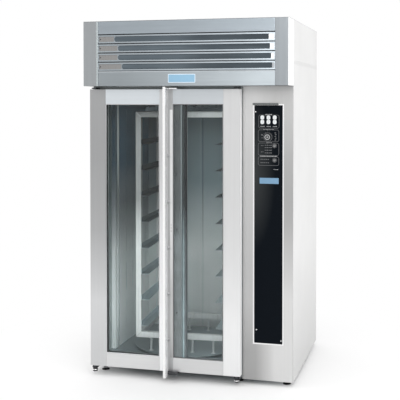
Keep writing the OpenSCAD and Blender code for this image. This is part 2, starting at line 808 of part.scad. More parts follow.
module gearmotor() {
    gx0 = pinion_x - 40;
    gx1 = pinion_x + 42;
    plate_z = gear_z + 34;
    box_z = plate_z + 6;
    web_x = pinion_x + 56;
    color(dark_steel) difference() {
        union() {
            slab(gx0, gx1, rack_y - 50, rack_y + 50, box_z, box_z + 90);
            rod_x(gx1, gx1 + 12, rack_y, box_z + 45, 50);
            rod_x(gx1 + 12, gx1 + 130, rack_y, box_z + 45, 42);
            rod_x(gx1 + 130, gx1 + 150, rack_y, box_z + 45, 46);
            for (a = [0 : 30 : 330])
                at(gx1 + 12, rack_y, box_z + 45) rotate([a, 0, 0]) translate([0, -1.5, 40])
                    cube([118, 3, 8]);
            slab(gx0, web_x + 6, rack_y - 50, rack_y + 50, plate_z, box_z);
            slab(web_x, web_x + 6, rack_y - 50, rack_y + 50, hood_z + 6, plate_z);
            slab(web_x, web_x + 62, rack_y - 50, rack_y + 50, hood_z, hood_z + 6);
        }
        rod_z(pinion_x, rack_y, plate_z - cut, box_z, 13);
        rod_z(pinion_x, rack_y, box_z - cut, box_z + 26, 10 + run_gap);
    }
}

// Channel over the rack with a strap down each side rail, and the hub that holds the spindle
module drive_yoke() {
    bar_z = rack_z1 + 26;
    half = rack_w / 2;
    color(bright) on_rack() difference() {
        union() {
            rack_block(-half - 3, half + 3, -22, 22, rack_z1, bar_z);
            for (x = [-half - 3, half])
                rack_block(x, x + 3, -22, 22, rack_z1 - 28, rack_z1);
            translate([0, 0, bar_z]) cylinder(h = 44, r = 38);
        }
        translate([0, 0, bar_z]) cylinder(h = 45, r = spindle_r + 0.02);
        rack_block(-half + tube, -45, -18, 18, rack_z1 - cut, bar_z - 4);
        rack_block(45, half - tube, -18, 18, rack_z1 - cut, bar_z - 4);
    }
}

// Disc on a pin in the floor, with a row of flanged posts under each end rail of the rack
module turntable() {
    post_r = 7;
    color(steel) on_rack() {
        translate([0, 0, disc_z]) cylinder(h = 4, r = 375, $fn = 96);
        translate([0, 0, floor_z + 5 + body_gap]) cylinder(h = disc_z - floor_z - 5 - body_gap, r = 52);
        translate([0, 0, 68]) cylinder(h = disc_z - 68, r = 15);
        for (x = [-202.5 : 135 : 202.5], y = [-1, 1] * (rack_d - tube) / 2)
            translate([x, y, disc_z + 4]) {
                cylinder(h = rack_z0 - disc_z - 4, r = post_r);
                cylinder(h = 4, r = 14);
                translate([0, 0, rack_z0 - disc_z - 20]) cylinder(h = 12, r1 = post_r, r2 = 16);
                translate([0, 0, rack_z0 - disc_z - 8]) cylinder(h = 4, r = 22);
            }
    }
}

// ---- rack ----

// Square tube mitred at the corners, seen from the front as a tall rectangle
module end_frame(y0) {
    half = rack_w / 2;
    joint = 0.8;
    difference() {
        rack_block(-half, half, y0, y0 + tube, rack_z0, rack_z1);
        rack_block(tube - half, half - tube, y0 - cut, y0 + tube + cut, rack_z0 + tube, rack_z1 - tube);
        for (sx = [-1, 1], z = [rack_z0, rack_z1])
            translate([sx * half, y0, z]) rotate([0, (z == rack_z0 ? -45 : 45) * sx, 0])
                translate([-70, -cut, -joint / 2]) cube([140, cut + joint, joint]);
    }
}

module rack_frame() {
    half = rack_w / 2;
    end = rack_d / 2;
    color(bright) on_rack() {
        end_frame(-end);
        end_frame(end - tube);
        for (x = [-half, half - tube], z = [rack_z0, rack_z1 - tube])
            rack_block(x, x + tube, tube - end, end - tube, z, z + tube);
    }
}

// Angle runners welded to the inner faces of the uprights
module tray_runners() {
    inner = rack_w / 2 - tube;
    leg = 30;
    t = 3;
    color(bright) on_rack()
        for (i = [0 : levels - 1], s = [-1, 1]) {
            z = first_level + level_pitch * i;
            x0 = s < 0 ? -inner : inner - t;
            f0 = s < 0 ? -inner : inner - runner_out;
            rack_block(x0, x0 + t, -rack_d / 2, rack_d / 2, z, z + leg);
            rack_block(f0, f0 + runner_out, -rack_d / 2, rack_d / 2, z, z + t);
        }
}

// ---- doors ----

// Stiles and rails with a rebate for the glass, joint lines on the face, and the two pivot pins
module leaf_frame(x0, x1, g0, g1, pivot_x) {
    difference() {
        slab(x0, x1, door_front, door_back, door_z0, door_z1);
        slab(g0, g1, door_front - cut, door_back + cut, glass_z0, glass_z1);
        slab(g0 - rebate, g1 + rebate, door_front + lip, door_back + cut,
             glass_z0 - rebate, glass_z1 + rebate);
        for (x = [g0, g1]) {
            slab(x - 0.5, x + 0.5, door_front - cut, door_front + 0.8, door_z0 - cut, glass_z0);
            slab(x - 0.5, x + 0.5, door_front - cut, door_front + 0.8, glass_z1, door_z1 + cut);
        }
    }
    rod_z(pivot_x, pivot_y, door_z1, door_z1 + 13, pin_r);
    rod_z(pivot_x, pivot_y, 28, door_z0, pin_r);
}

// Outer and inner pane. The inner one may start further from the edge than the outer one.
module leaf_glass(g0, g1, inner_x0) {
    seat = rebate - 0.5;
    slab(g0 - seat, g1 + seat, door_front + lip, door_front + lip + 6, glass_z0 - seat, glass_z1 + seat);
    slab(inner_x0 + 0.5, g1 + seat, door_back - 10, door_back - 5, glass_z0 - seat, glass_z1 + seat);
}

// Bead in front of the outer pane, spacer between the panes, and the rear glazing frame
module leaf_trim(g0, g1, inner_x0) {
    z0 = glass_z0 - rebate;
    z1 = glass_z1 + rebate;
    upright_ring(g0, g1, door_front + 0.5, door_front + lip, glass_z0, glass_z1, 5);
    upright_ring(inner_x0, g1 + rebate, door_front + lip + 6, door_back - 10, z0, z1, rebate);
    upright_ring(inner_x0, g1 + rebate, door_back - 5, door_back - 0.5, z0, z1, rebate + 4);
}

module left_door_frame() {
    color(steel) leaf_frame(0, left_x1, left_g0, left_g1, pivot_in);
}

module left_door_glass() {
    color(glass) leaf_glass(left_g0, left_g1, left_g0 - rebate);
}

module left_glass_trim() {
    color(bright) leaf_trim(left_g0, left_g1, left_g0 - rebate);
}

module right_door_frame() {
    color(steel) leaf_frame(right_x0, column_x, right_g0, right_g1, column_x - pivot_in);
}

module right_door_glass() {
    color(glass) leaf_glass(right_g0, right_g1, latch_x1);
}

// As on the left leaf, with a polished cover strip in lengths down the meeting stile
module right_glass_trim() {
    strip_z0 = glass_z0;
    strip_z1 = glass_z1 - 34;
    strip_l = (strip_z1 - strip_z0) / 5.5;
    color(bright) {
        leaf_trim(right_g0, right_g1, latch_x1);
        for (i = [0 : 5])
            slab(right_g0 - 19, right_g0 - 0.5, door_front - 1.5, door_front, strip_z0 + strip_l * i + 1,
                 min(strip_z0 + strip_l * (i + 1), strip_z1));
    }
}

// Housing for the espagnolette behind the outer pane: a channel, its turned edge and the seal
module latch_stile() {
    x0 = right_g0 - rebate;
    y0 = door_front + lip + 6;
    y1 = door_back - 0.5;
    z0 = glass_z0 - rebate;
    z1 = glass_z1 + rebate;
    color([0.25, 0.27, 0.28]) difference() {
        union() {
            slab(x0, latch_x1 - 34, y0 + 3, y1, z0, z1);
            slab(latch_x1 - 34, latch_x1 - 24, y0, y1, z0, z1);
            slab(latch_x1 - 24, latch_x1, y0 + 6, y1, z0, z1);
        }
        for (z = [420, 930, 1270, 1590])
            slab(x0 + 22, x0 + 34, y0 - cut, y0 + 8, z - 24, z + 24);
    }
}

// Full-height pull: a grooved bar carried by a plate over and under the leaf and by five pillars
module door_handle() {
    x0 = 499;
    x1 = 516;
    grip_y = door_front - 80;
    plate_x1 = 575;
    color(bright) {
        difference() {
            slab(x0, x1, grip_y, grip_y + 40, 40, door_z1 + 14);
            slab(x0 - cut, x0 + 4, grip_y + 12, grip_y + 26, 46, door_z1 + 8);
        }
        slab(x0, plate_x1, grip_y + 40, door_back - 16, door_z1, door_z1 + 7);
        slab(x0, plate_x1, grip_y + 40, door_back - 16, door_z0 - 6, door_z0);
        for (z = [255 : 282 : 1383])
            rod_y((x0 + x1) / 2, grip_y + 40, door_front, z, 6);
    }
}

// ---- controls ----

module program_knob() {
    color([0.3, 0.31, 0.32]) at(knob_at[0], 0, knob_at[1]) rotate([90, 0, 0]) {
        difference() {
            translate([0, 0, body_gap]) cylinder(h = 18, r1 = 20, r2 = 17.5);
            translate([0, 0, 15]) rotate_extrude() polygon([[0, 6], [0, 2.2], [8, 2.6], [13, 6]]);
        }
        translate([0, 0, -18]) cylinder(h = 18 + body_gap, r = 3);
    }
}

module push_button(p) {
    at(p[0], 0, p[1]) rotate([90, 0, 0]) {
        translate([0, 0, -4 - body_gap]) cylinder(h = 9 + body_gap, r = 10);
        translate([0, 0, 5]) cylinder(h = 1.5, r1 = 10, r2 = 8.5);
        translate([0, 0, -6 - body_gap]) cylinder(h = 2, r = 12.5);
        translate([0, 0, -18]) cylinder(h = 12, r = 3);
    }
}

module start_button() {
    color(bright) push_button(start_at);
}

module stop_button() {
    color(bright) push_button(stop_at);
}

levelling_feet();
base_slab();
left_side_panel();
right_side_panel();
rear_panel();
roof_panel();
left_wall();
rear_wall();
ceiling_slab();
plenum_wall();
left_air_baffle();
right_air_baffle();
door_surround();
door_gasket();
door_hinge_brackets();
hood_shell();
hood_louvres();
hood_filter();
blank_plates();
column_front();
fascia_trim();
control_fascia();
display_windows();
control_board();
contactor_rail();
heater_rings();
fan_shroud();
fan_motor();
steam_pipe();
water_inlet();
drain_stub();
cable_gland();
cavity_lamp();
gearmotor();
spindle_bearing();
exhaust_fan_case();
exhaust_motor();
flue_spigot();
floor_pivot();
exhaust_impeller();
convection_impeller();
damper_flap();
drive_pinion();
driven_gear();
rack_spindle();
drive_yoke();
turntable();
rack_frame();
tray_runners();
left_door_frame();
left_door_glass();
left_glass_trim();
right_door_frame();
right_door_glass();
right_glass_trim();
latch_stile();
door_handle();
program_knob();
start_button();
stop_button();
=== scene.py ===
"""Looks of a rotating rack oven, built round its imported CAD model.

Every length is in metres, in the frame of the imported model. Places that are given from the
cabinet's left side and from the face of its control column go through across() and deep().
"""
import json
import logging
import math
from collections.abc import Callable, Iterator, Sequence
from contextlib import contextmanager
from dataclasses import dataclass
from enum import Enum
from typing import ClassVar

import bmesh
import bpy
from mathutils import Matrix, Vector

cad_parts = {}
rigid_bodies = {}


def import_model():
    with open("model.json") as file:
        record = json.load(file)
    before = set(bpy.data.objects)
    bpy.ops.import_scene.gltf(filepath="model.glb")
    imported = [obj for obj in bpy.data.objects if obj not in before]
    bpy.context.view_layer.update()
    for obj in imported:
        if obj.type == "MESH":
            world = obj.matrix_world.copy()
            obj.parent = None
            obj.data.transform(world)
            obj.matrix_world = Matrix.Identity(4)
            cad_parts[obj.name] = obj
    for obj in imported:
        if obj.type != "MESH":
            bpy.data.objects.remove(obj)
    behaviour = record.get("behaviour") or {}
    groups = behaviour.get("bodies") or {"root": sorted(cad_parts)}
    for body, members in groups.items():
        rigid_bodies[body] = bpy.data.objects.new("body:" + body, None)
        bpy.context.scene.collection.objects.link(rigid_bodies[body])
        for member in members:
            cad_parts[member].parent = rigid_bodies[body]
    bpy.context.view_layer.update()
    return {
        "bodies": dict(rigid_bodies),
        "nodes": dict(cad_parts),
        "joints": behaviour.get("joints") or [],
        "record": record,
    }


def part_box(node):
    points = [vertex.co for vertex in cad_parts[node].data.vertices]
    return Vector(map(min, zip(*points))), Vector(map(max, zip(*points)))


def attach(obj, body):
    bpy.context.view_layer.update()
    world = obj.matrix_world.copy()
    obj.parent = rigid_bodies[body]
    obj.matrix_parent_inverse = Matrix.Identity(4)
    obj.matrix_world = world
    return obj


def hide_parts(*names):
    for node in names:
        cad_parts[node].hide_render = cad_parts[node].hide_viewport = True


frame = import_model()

LOG = logging.getLogger("rack_oven")

Span = tuple[float, float]
Colour = tuple[float, float, float]
Point = tuple[float, float, float]
Part = tuple[int, float, float]

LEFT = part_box("left_side_panel")[0].x
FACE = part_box("column_front")[0].y
RACK_TURN = math.radians(4)
PIN_R = 0.008
PIN_IN = 0.016


def across(start: float, end: float) -> Span:
    """X span given from the cabinet's left side."""
    return LEFT + start, LEFT + end


def deep(start: float, end: float) -> Span:
    """Y span given from the face of the control column, rearwards."""
    return FACE + start, FACE + end


def place(x: float, y: float, z: float) -> Vector:
    """Point given from the left side, the column's face and the floor."""
    return Vector((LEFT + x, FACE + y, z))


class Axis(Enum):
    """Direction in which a turned piece stands."""

    FRONT = (0.0, -1.0, 0.0)
    REAR = (0.0, 1.0, 0.0)
    UP = (0.0, 0.0, 1.0)
    DOWN = (0.0, 0.0, -1.0)

    def turn(self) -> Matrix:
        """Matrix that turns +Z to this direction."""
        return Vector(self.value).to_track_quat("Z", "Y").to_matrix().to_4x4()


class Body(str, Enum):
    """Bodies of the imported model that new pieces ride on."""

    CABINET = "cabinet"
    RACK = "rack"
    LEFT_DOOR = "left_door"
    RIGHT_DOOR = "right_door"
    KNOB = "knob"
    START = "start_key"
    STOP = "stop_key"


@dataclass(frozen=True)
class Box:
    """Upright box, one span for each axis."""

    x: Span
    y: Span
    z: Span

    @classmethod
    def of(cls, node: str) -> "Box":
        """Box of a CAD node at rest."""
        low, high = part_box(node)
        return cls((low.x, high.x), (low.y, high.y), (low.z, high.z))

    def grown(self, x: float = 0.0, y: float = 0.0, z: float = 0.0) -> "Box":
        """The box with each span made longer at both ends."""
        return Box(
            (self.x[0] - x, self.x[1] + x),
            (self.y[0] - y, self.y[1] + y),
            (self.z[0] - z, self.z[1] + z),
        )


# ---------------------------------------------------------------- finishes


class Grain(Enum):
    """How far a brushed pattern is stretched along each axis."""

    ACROSS = (2.5, 240.0, 240.0)
    UPRIGHT = (240.0, 240.0, 2.5)
    DEEP = (240.0, 2.5, 240.0)
    LEVEL = (2.5, 2.5, 240.0)


@dataclass(frozen=True)
class ShadeCourse:
    """Slow change of a surface's tone along one axis: painted light and shade, which stand for
    reflections and shadow that change over the surface.

    The stops are pairs of place and level, in rising order of place. Where a part is named, as
    axis, start and end, the change grows from none at the start to the full change at the end.
    """

    axis: int
    stops: tuple[Span, ...]
    part: Part | None = None


class Tree:
    """Short way to place and join shader nodes."""

    def __init__(self, owner: bpy.types.Material | bpy.types.World) -> None:
        """Empties the node tree of a material or a world."""
        self.owner = owner
        self.nodes = owner.node_tree.nodes
        self.nodes.clear()

    @classmethod
    def paint(cls, name: str) -> "Tree":
        """Tree of a new material."""
        material = bpy.data.materials.new(name)
        material.use_nodes = True
        return cls(material)

    def add(self, kind: str, inputs: dict | None = None, **settings: object) -> bpy.types.ShaderNode:
        """Adds a node.

        Args:
            kind: Blender's name of the node.
            inputs: Value or socket for each input, by name or number.
            settings: Properties of the node.

        Returns:
            The new node.
        """
        node = self.nodes.new(kind)
        for name, value in settings.items():
            setattr(node, name, value)
        for key, value in (inputs or {}).items():
            if isinstance(value, bpy.types.NodeSocket):
                self.owner.node_tree.links.new(value, node.inputs[key])
            else:
                node.inputs[key].default_value = value
        return node

    def points(self, stretch: Sequence[float] = (1, 1, 1)) -> bpy.types.NodeSocket:
        """Object coordinates, stretched along each axis."""
        source = self.add("ShaderNodeTexCoord").outputs["Object"]
        return self.add("ShaderNodeMapping", {"Vector": source, "Scale": stretch}).outputs[0]

    def noise(self, points: bpy.types.NodeSocket, scale: float,
              detail: float = 3) -> bpy.types.NodeSocket:
        """Value of a noise pattern."""
        inputs = {"Vector": points, "Scale": scale, "Detail": detail}
        return self.add("ShaderNodeTexNoise", inputs).outputs["Fac"]

    def remap(self, value: bpy.types.NodeSocket, low: float, high: float, start: float = 0.3,
              end: float = 0.7) -> bpy.types.NodeSocket:
        """Maps a value that runs from start to end to one that runs from low to high."""
        inputs = {0: value, 1: start, 2: end, 3: low, 4: high}
        return self.add("ShaderNodeMapRange", inputs).outputs[0]

    def blend(self, share: bpy.types.NodeSocket, first: object, second: object) -> bpy.types.NodeSocket:
        """Colour between two colours, by share."""
        node = self.add("ShaderNodeMix", data_type="RGBA")
        for key, value in ((0, share), (6, first), (7, second)):
            if isinstance(value, bpy.types.NodeSocket):
                self.owner.node_tree.links.new(value, node.inputs[key])
            else:
                node.inputs[key].default_value = (*value, 1)
        return node.outputs[2]

    def sum(self, first: object, second: object, operation: str = "ADD") -> bpy.types.NodeSocket:
        """Result of a sum, or of another operation, on two numbers."""
        return self.add("ShaderNodeMath", {0: first, 1: second}, operation=operation).outputs[0]

    def follow(self, colour: bpy.types.NodeSocket, shade_courses: Sequence[ShadeCourse]) -> bpy.types.NodeSocket:
        """Colour whose level follows each course of painted light and shade in turn."""
        if not shade_courses:
            return colour
        parts = self.add("ShaderNodeSeparateXYZ", {0: self.points()}).outputs
        for course in shade_courses:
            level = course.stops[0][1]
            for (start, first), (end, last) in zip(course.stops, course.stops[1:]):
                level = self.sum(level, self.remap(parts[course.axis], 0.0, last - first, start, end))
            if course.part:
                axis, start, end = course.part
                share = self.remap(parts[axis], 0.0, 1.0, start, end)
                level = self.sum(self.sum(self.sum(level, -1.0), share, "MULTIPLY"), 1.0)
            colour = self.add("ShaderNodeVectorMath", {0: colour, 3: level},
                              operation="SCALE").outputs[0]
        return colour

    def bump(self, height: bpy.types.NodeSocket, strength: float, depth: float) -> bpy.types.NodeSocket:
        """Normal of a surface with small heights."""
        inputs = {"Height": height, "Strength": strength, "Distance": depth}
        return self.add("ShaderNodeBump", inputs).outputs[0]

    def surface(self, inputs: dict) -> bpy.types.ShaderNode:
        """Principled surface, joined to the material's output."""
        shader = self.add("ShaderNodeBsdfPrincipled", inputs)
        self.add("ShaderNodeOutputMaterial", {"Surface": shader.outputs[0]})
        return shader


def tinted(colour: Colour, by: float) -> Colour:
    """A colour made lighter or darker by a factor."""
    return tuple(min(1.0, part * by) for part in colour)


@dataclass(frozen=True)
class Finish:
    """Base of all finishes: a name, a colour, and the slot of the record that it belongs to."""

    name: str
    slot: str
    colour: Colour
    roughness: float = 0.4
    made: ClassVar[dict] = {}

    def build(self, tree: Tree) -> None:
        """Adds the shader nodes."""
        raise NotImplementedError

    def material(self) -> bpy.types.Material:
        """The material of this finish, made once."""
        if self.name not in self.made:
            tree = Tree.paint(self.name)
            self.build(tree)
            self.made[self.name] = tree.owner
        return self.made[self.name]


@dataclass(frozen=True)
class BrushedSteel(Finish):
    """Stainless sheet with a fine brushed grain, broad clouding and faint hand marks."""

    grain: Grain = Grain.UPRIGHT
    streak: float = 0.025
    cloud: float = 0.03
    metallic: float = 1.0
    shade_courses: tuple[ShadeCourse, ...] = ()

    def build(self, tree: Tree) -> None:
        """Adds the shader nodes."""
        points = tree.points(self.grain.value)
        fine = tree.noise(points, 3.2, 2)
        wide = tree.noise(points, 0.28, 4)
        clouds = tree.noise(tree.points(), 2.1, 3)
        marks = tree.noise(tree.points(), 9.0, 6)
        streaks = tree.sum(fine, wide)
        share = tree.remap(streaks, 0, 1, 0.75, 1.25)
        brushed = tree.blend(share, tinted(self.colour, 1 - self.streak),
                             tinted(self.colour, 1 + self.streak))
        shade = tree.remap(clouds, 1 - self.cloud, 1 + self.cloud * 0.4)
        tone = tree.add("ShaderNodeVectorMath", {0: brushed, 3: shade}, operation="SCALE").outputs[0]
        rough = tree.remap(streaks, self.roughness - 0.05, self.roughness + 0.07, 0.75, 1.25)
        smear = tree.remap(marks, 0.0, 0.05, 0.52, 0.7)
        tree.surface({"Base Color": tree.follow(tone, self.shade_courses), "Metallic": self.metallic,
                      "Roughness": tree.sum(rough, smear), "Normal": tree.bump(streaks, 0.05, 0.0003)})


@dataclass(frozen=True)
class LinerSteel(Finish):
    """Dull liner of a hot chamber, with baked-on haze, drip marks and a faint straw tint; where an
    upper colour is given, the top is blended to it as painted shade and reflection.
    """

    tint: Colour = (0.34, 0.33, 0.29)
    upper: Colour | None = None
    rise: Span = (0.85, 1.45)
    shade_courses: tuple[ShadeCourse, ...] = ()

    def build(self, tree: Tree) -> None:
        """Adds the shader nodes."""
        haze = tree.noise(tree.points(), 3.0, 5)
        drips = tree.noise(tree.points((26, 26, 1.1)), 1.0, 3)
        grain = tree.noise(tree.points(Grain.UPRIGHT.value), 2.0, 2)
        base = tree.blend(tree.remap(haze, 0, 1), tinted(self.colour, 0.88), tinted(self.colour, 1.1))
        aged = tree.blend(tree.remap(drips, 0.0, 0.35, 0.5, 0.8), base, self.tint)
        # Painted shade and reflection: the upper colour darkens and blues the top of the chamber over
        # the rise in height.
        if self.upper:
            height = tree.add("ShaderNodeSeparateXYZ", {0: tree.points()}).outputs[2]
            aged = tree.blend(tree.remap(height, 0.0, 1.0, *self.rise), aged, self.upper)
        rough = tree.remap(haze, self.roughness - 0.06, self.roughness + 0.1)
        tree.surface({"Base Color": tree.follow(aged, self.shade_courses), "Metallic": 0.25,
                      "Roughness": rough,
                      "Normal": tree.bump(grain, 0.1, 0.0004)})


@dataclass(frozen=True)
class Skin(Finish):
    """Plain skin whose tone and gloss wander a little, over a fine relief."""

    metallic: float = 0.0
    coat: float = 0.0
    glow: float = 0.0
    relief: float = 0.15
    scale: float = 260.0
    shade_courses: tuple[ShadeCourse, ...] = ()
    patch: ClassVar[Span] = (4.0, 4)
    shades: ClassVar[Span] = (0.95, 1.03)
    gloss: ClassVar[Span] = (-0.04, 0.05)
    stretch: ClassVar[Point] = (1.0, 1.0, 1.0)
    depth: ClassVar[float] = 0.0003
    stain: ClassVar[Colour | None] = None

    def build(self, tree: Tree) -> None:
        """Adds the shader nodes."""
        tone = tree.noise(tree.points(), *self.patch)
        relief = tree.noise(tree.points(self.stretch), self.scale, 2)
        dark, light = (tinted(self.colour, shade) for shade in self.shades)
        mottled = tree.blend(tree.remap(tone, 0, 1), dark, self.stain or light)
        base = tree.follow(mottled, self.shade_courses)
        rough = tree.remap(tone, *(self.roughness + change for change in self.gloss))
        tree.surface({"Base Color": base, "Metallic": self.metallic, "Roughness": rough,
                      "Coat Weight": self.coat, "Coat Roughness": 0.05,
                      "Emission Color": base, "Emission Strength": self.glow,
                      "Normal": tree.bump(relief, self.relief, self.depth)})


class Enamel(Skin):
    """Paint or enamel with a fine orange peel and a slight wear of its tone."""


@dataclass(frozen=True)
class Moulded(Skin):
    """Rubber or moulded plastic with a fine pitted skin."""

    relief: float = 0.3
    scale: float = 1400.0
    patch: ClassVar[Span] = (18.0, 4)
    shades: ClassVar[Span] = (0.85, 1.2)
    gloss: ClassVar[Span] = (-0.07, 0.08)
    depth: ClassVar[float] = 0.0002


@dataclass(frozen=True)
class Machined(Skin):
    """Turned or milled metal with close tool marks and an oily film."""

    metallic: float = 1.0
    relief: float = 0.2
    scale: float = 1.0
    patch: ClassVar[Span] = (14.0, 4)
    shades: ClassVar[Span] = (0.8, 1.12)
    gloss: ClassVar[Span] = (-0.08, 0.12)
    stretch: ClassVar[Point] = (30.0, 30.0, 700.0)


@dataclass(frozen=True)
class HeatStained(Skin):
    """Sheathed element whose oxide runs from straw to blue-brown."""

    metallic: float = 0.8
    relief: float = 0.25
    scale: float = 700.0
    patch: ClassVar[Span] = (12.0, 4)
    shades: ClassVar[Span] = (1.0, 1.0)
    gloss: ClassVar[Span] = (0.0, 0.2)
    stain: ClassVar[Colour] = (0.2, 0.13, 0.08)


@dataclass(frozen=True)
class Lit(Skin):
    """White lens with light behind it, a little uneven."""

    relief: float = 0.0
    patch: ClassVar[Span] = (60.0, 2)
    shades: ClassVar[Span] = (0.93, 1.0)
    gloss: ClassVar[Span] = (-0.15, 0.0)


@dataclass(frozen=True)
class GlossBlack(Finish):
    """Gloss panel that carries wiping marks, a little dust and a soft lighter patch round one place."""

    haze: Colour = (0.038, 0.041, 0.042)
    haze_at: Point = (0.0, 0.0, 0.0)
    haze_r: float = 0.15
    squeeze: ClassVar[float] = 0.3

    def build(self, tree: Tree) -> None:
        """Adds the shader nodes."""
        wipes = tree.noise(tree.points((9, 9, 2.2)), 1.6, 5)
        dust = tree.noise(tree.points(), 900.0, 1)
        speck = tree.remap(dust, 0.0, 0.06, 0.68, 0.76)
        ends = {0: tree.points((1, 1, self.squeeze)), 1: self.haze_at}
        away = tree.add("ShaderNodeVectorMath", ends, operation="DISTANCE").outputs["Value"]
        hazed = tree.blend(tree.remap(away, 1, 0, 0, self.haze_r), self.colour, self.haze)
        base = tree.blend(speck, hazed, (0.2, 0.21, 0.23))
        tree.surface({"Base Color": base, "Roughness": tree.remap(wipes, 0.09, 0.24),
                      "Specular IOR Level": 0.05, "Normal": tree.bump(wipes, 0.02, 0.002)})


@dataclass(frozen=True)
class Board(Finish):
    """Lacquered circuit board with copper tracks under the lacquer."""

    def build(self, tree: Tree) -> None:
        """Adds the shader nodes."""
        tracks = tree.add("ShaderNodeTexVoronoi", {"Vector": tree.points((90, 90, 90)), "Scale": 1.0},
                          distance="MANHATTAN").outputs["Distance"]
        share = tree.remap(tracks, 0, 1, 0.42, 0.46)
        base = tree.blend(share, self.colour, tinted(self.colour, 1.7))
        tree.surface({"Base Color": base, "Roughness": 0.35, "Normal": tree.bump(share, 0.2, 0.0002)})


@dataclass(frozen=True)
class Pane(Finish):
    """Tempered glass that lets lamps through, with a faint film on its faces."""

    passed: Colour = (0.97, 0.985, 0.985)

    def build(self, tree: Tree) -> None:
        """Adds the shader nodes."""
        film = tree.noise(tree.points((3, 3, 1)), 2.0, 4)
        glass = tree.add("ShaderNodeBsdfPrincipled", {
            "Base Color": (*self.colour, 1), "Roughness": tree.remap(film, 0.0, 0.04, 0.4, 0.75),
            "Transmission Weight": 1.0, "IOR": 1.2})
        clear = tree.add("ShaderNodeBsdfTransparent", {"Color": (*self.passed, 1)})
        path = tree.add("ShaderNodeLightPath")
        lamp = tree.sum(path.outputs["Is Shadow Ray"], path.outputs["Is Diffuse Ray"], "MAXIMUM")
        mixed = tree.add("ShaderNodeMixShader", {0: lamp, 1: glass.outputs[0], 2: clear.outputs[0]})
        tree.add("ShaderNodeOutputMaterial", {"Surface": mixed.outputs[0]})


def upright(*stops: Span, part: Part | None = None) -> ShadeCourse:
    """Course of painted light and shade over heights above the floor."""
    return ShadeCourse(2, stops, part)


def sideways(*stops: Span, part: Part | None = None) -> ShadeCourse:
    """Course of painted light and shade over distances from the cabinet's left side."""
    return ShadeCourse(0, tuple((LEFT + x, level) for x, level in stops), part)


# Painted light: the leaves' stiles, meeting stiles and rails are one stainless, a darker copy on the
# left leaf and a lighter copy on the right, and their courses paint reflection and shade that change
# over height and width.
LEFT_STILE_STEEL = BrushedSteel(
    "left_stile_steel", "stainless", (0.375, 0.378, 0.382), 0.34,
    shade_courses=(upright((0.16, 1.66), (0.47, 1.79), (0.91, 1.18), (1.35, 1.0)),))
RIGHT_STILE_STEEL = BrushedSteel(
    "right_stile_steel", "stainless", (0.685, 0.687, 0.69), 0.34,
    shade_courses=(upright((0.34, 1.25), (1.0, 1.0), (1.6, 0.91)),))
LEFT_MEET_STEEL = BrushedSteel(
    "left_meet_steel", "stainless", (0.58, 0.585, 0.59), 0.34,
    shade_courses=(upright((0.3, 1.6), (0.85, 1.36), (1.4, 1.0)),))
RIGHT_MEET_STEEL = BrushedSteel("right_meet_steel", "stainless", (0.52, 0.525, 0.53), 0.34)
UPPER_RAIL_STEEL = BrushedSteel(
    "upper_rail_steel", "stainless", (0.662, 0.7, 0.73), 0.34, grain=Grain.ACROSS,
    shade_courses=(sideways((0.4, 1.0), (0.6, 0.83)),))
LOWER_RAIL_STEEL = BrushedSteel(
    "lower_rail_steel", "stainless", (0.717, 0.72, 0.723), 0.34, grain=Grain.ACROSS,
    shade_courses=(sideways((0.4, 1.0), (0.6, 0.94)),))
# Painted highlight: near-white, hardly metallic steel for edges and ends that catch the light: the
# leaves' outer edges, the hood's right corner and right end, and the glints at the louvres' right ends.
EDGE_STEEL = BrushedSteel("edge_steel", "stainless", (0.95, 0.95, 0.95), 0.5, metallic=0.15)
# Painted shade and reflection: the column's tone changes with height, one way on its left part beside
# the doors and another way on its right part.
COLUMN_STEEL = BrushedSteel(
    "column_steel", "stainless", (0.625, 0.625, 0.623), 0.38,
    shade_courses=(
        upright(
            (0.2, 0.64), (0.5, 0.84), (1.12, 0.86), (1.6, 0.92), part=(0, LEFT + 1.16, LEFT + 1.04)),
        upright(
            (0.2, 1.1), (0.52, 1.13), (1.0, 0.7), (1.2, 0.66), (1.6, 0.77),
            part=(0, LEFT + 1.04, LEFT + 1.16)),))
SHELL_STEEL = BrushedSteel("shell_steel", "stainless", (0.6, 0.61, 0.62), 0.4, cloud=0.08)
# Painted light: the hood's rails, lip, blades and posts are one stainless in lighter and darker copies,
# and the courses paint reflections that brighten towards the right.
TOP_RAIL_STEEL = BrushedSteel(
    "top_rail_steel", "hood_stainless", (0.34, 0.381, 0.415), 0.33, grain=Grain.ACROSS, cloud=0.05,
    shade_courses=(sideways((0.25, 1.0), (0.65, 1.05), (1.1, 1.17)),))
LOW_RAIL_STEEL = BrushedSteel(
    "low_rail_steel", "hood_stainless", (0.313, 0.344, 0.363), 0.33, grain=Grain.ACROSS, cloud=0.05,
    shade_courses=(sideways((0.25, 1.0), (0.65, 1.28), (1.1, 1.7)),))
LIP_STEEL = BrushedSteel("lip_steel", "hood_stainless", (0.56, 0.6, 0.63), 0.25, grain=Grain.ACROSS)
PLATE_END_STEEL = BrushedSteel("plate_end_steel", "hood_stainless", (0.3, 0.296, 0.292), 0.3)
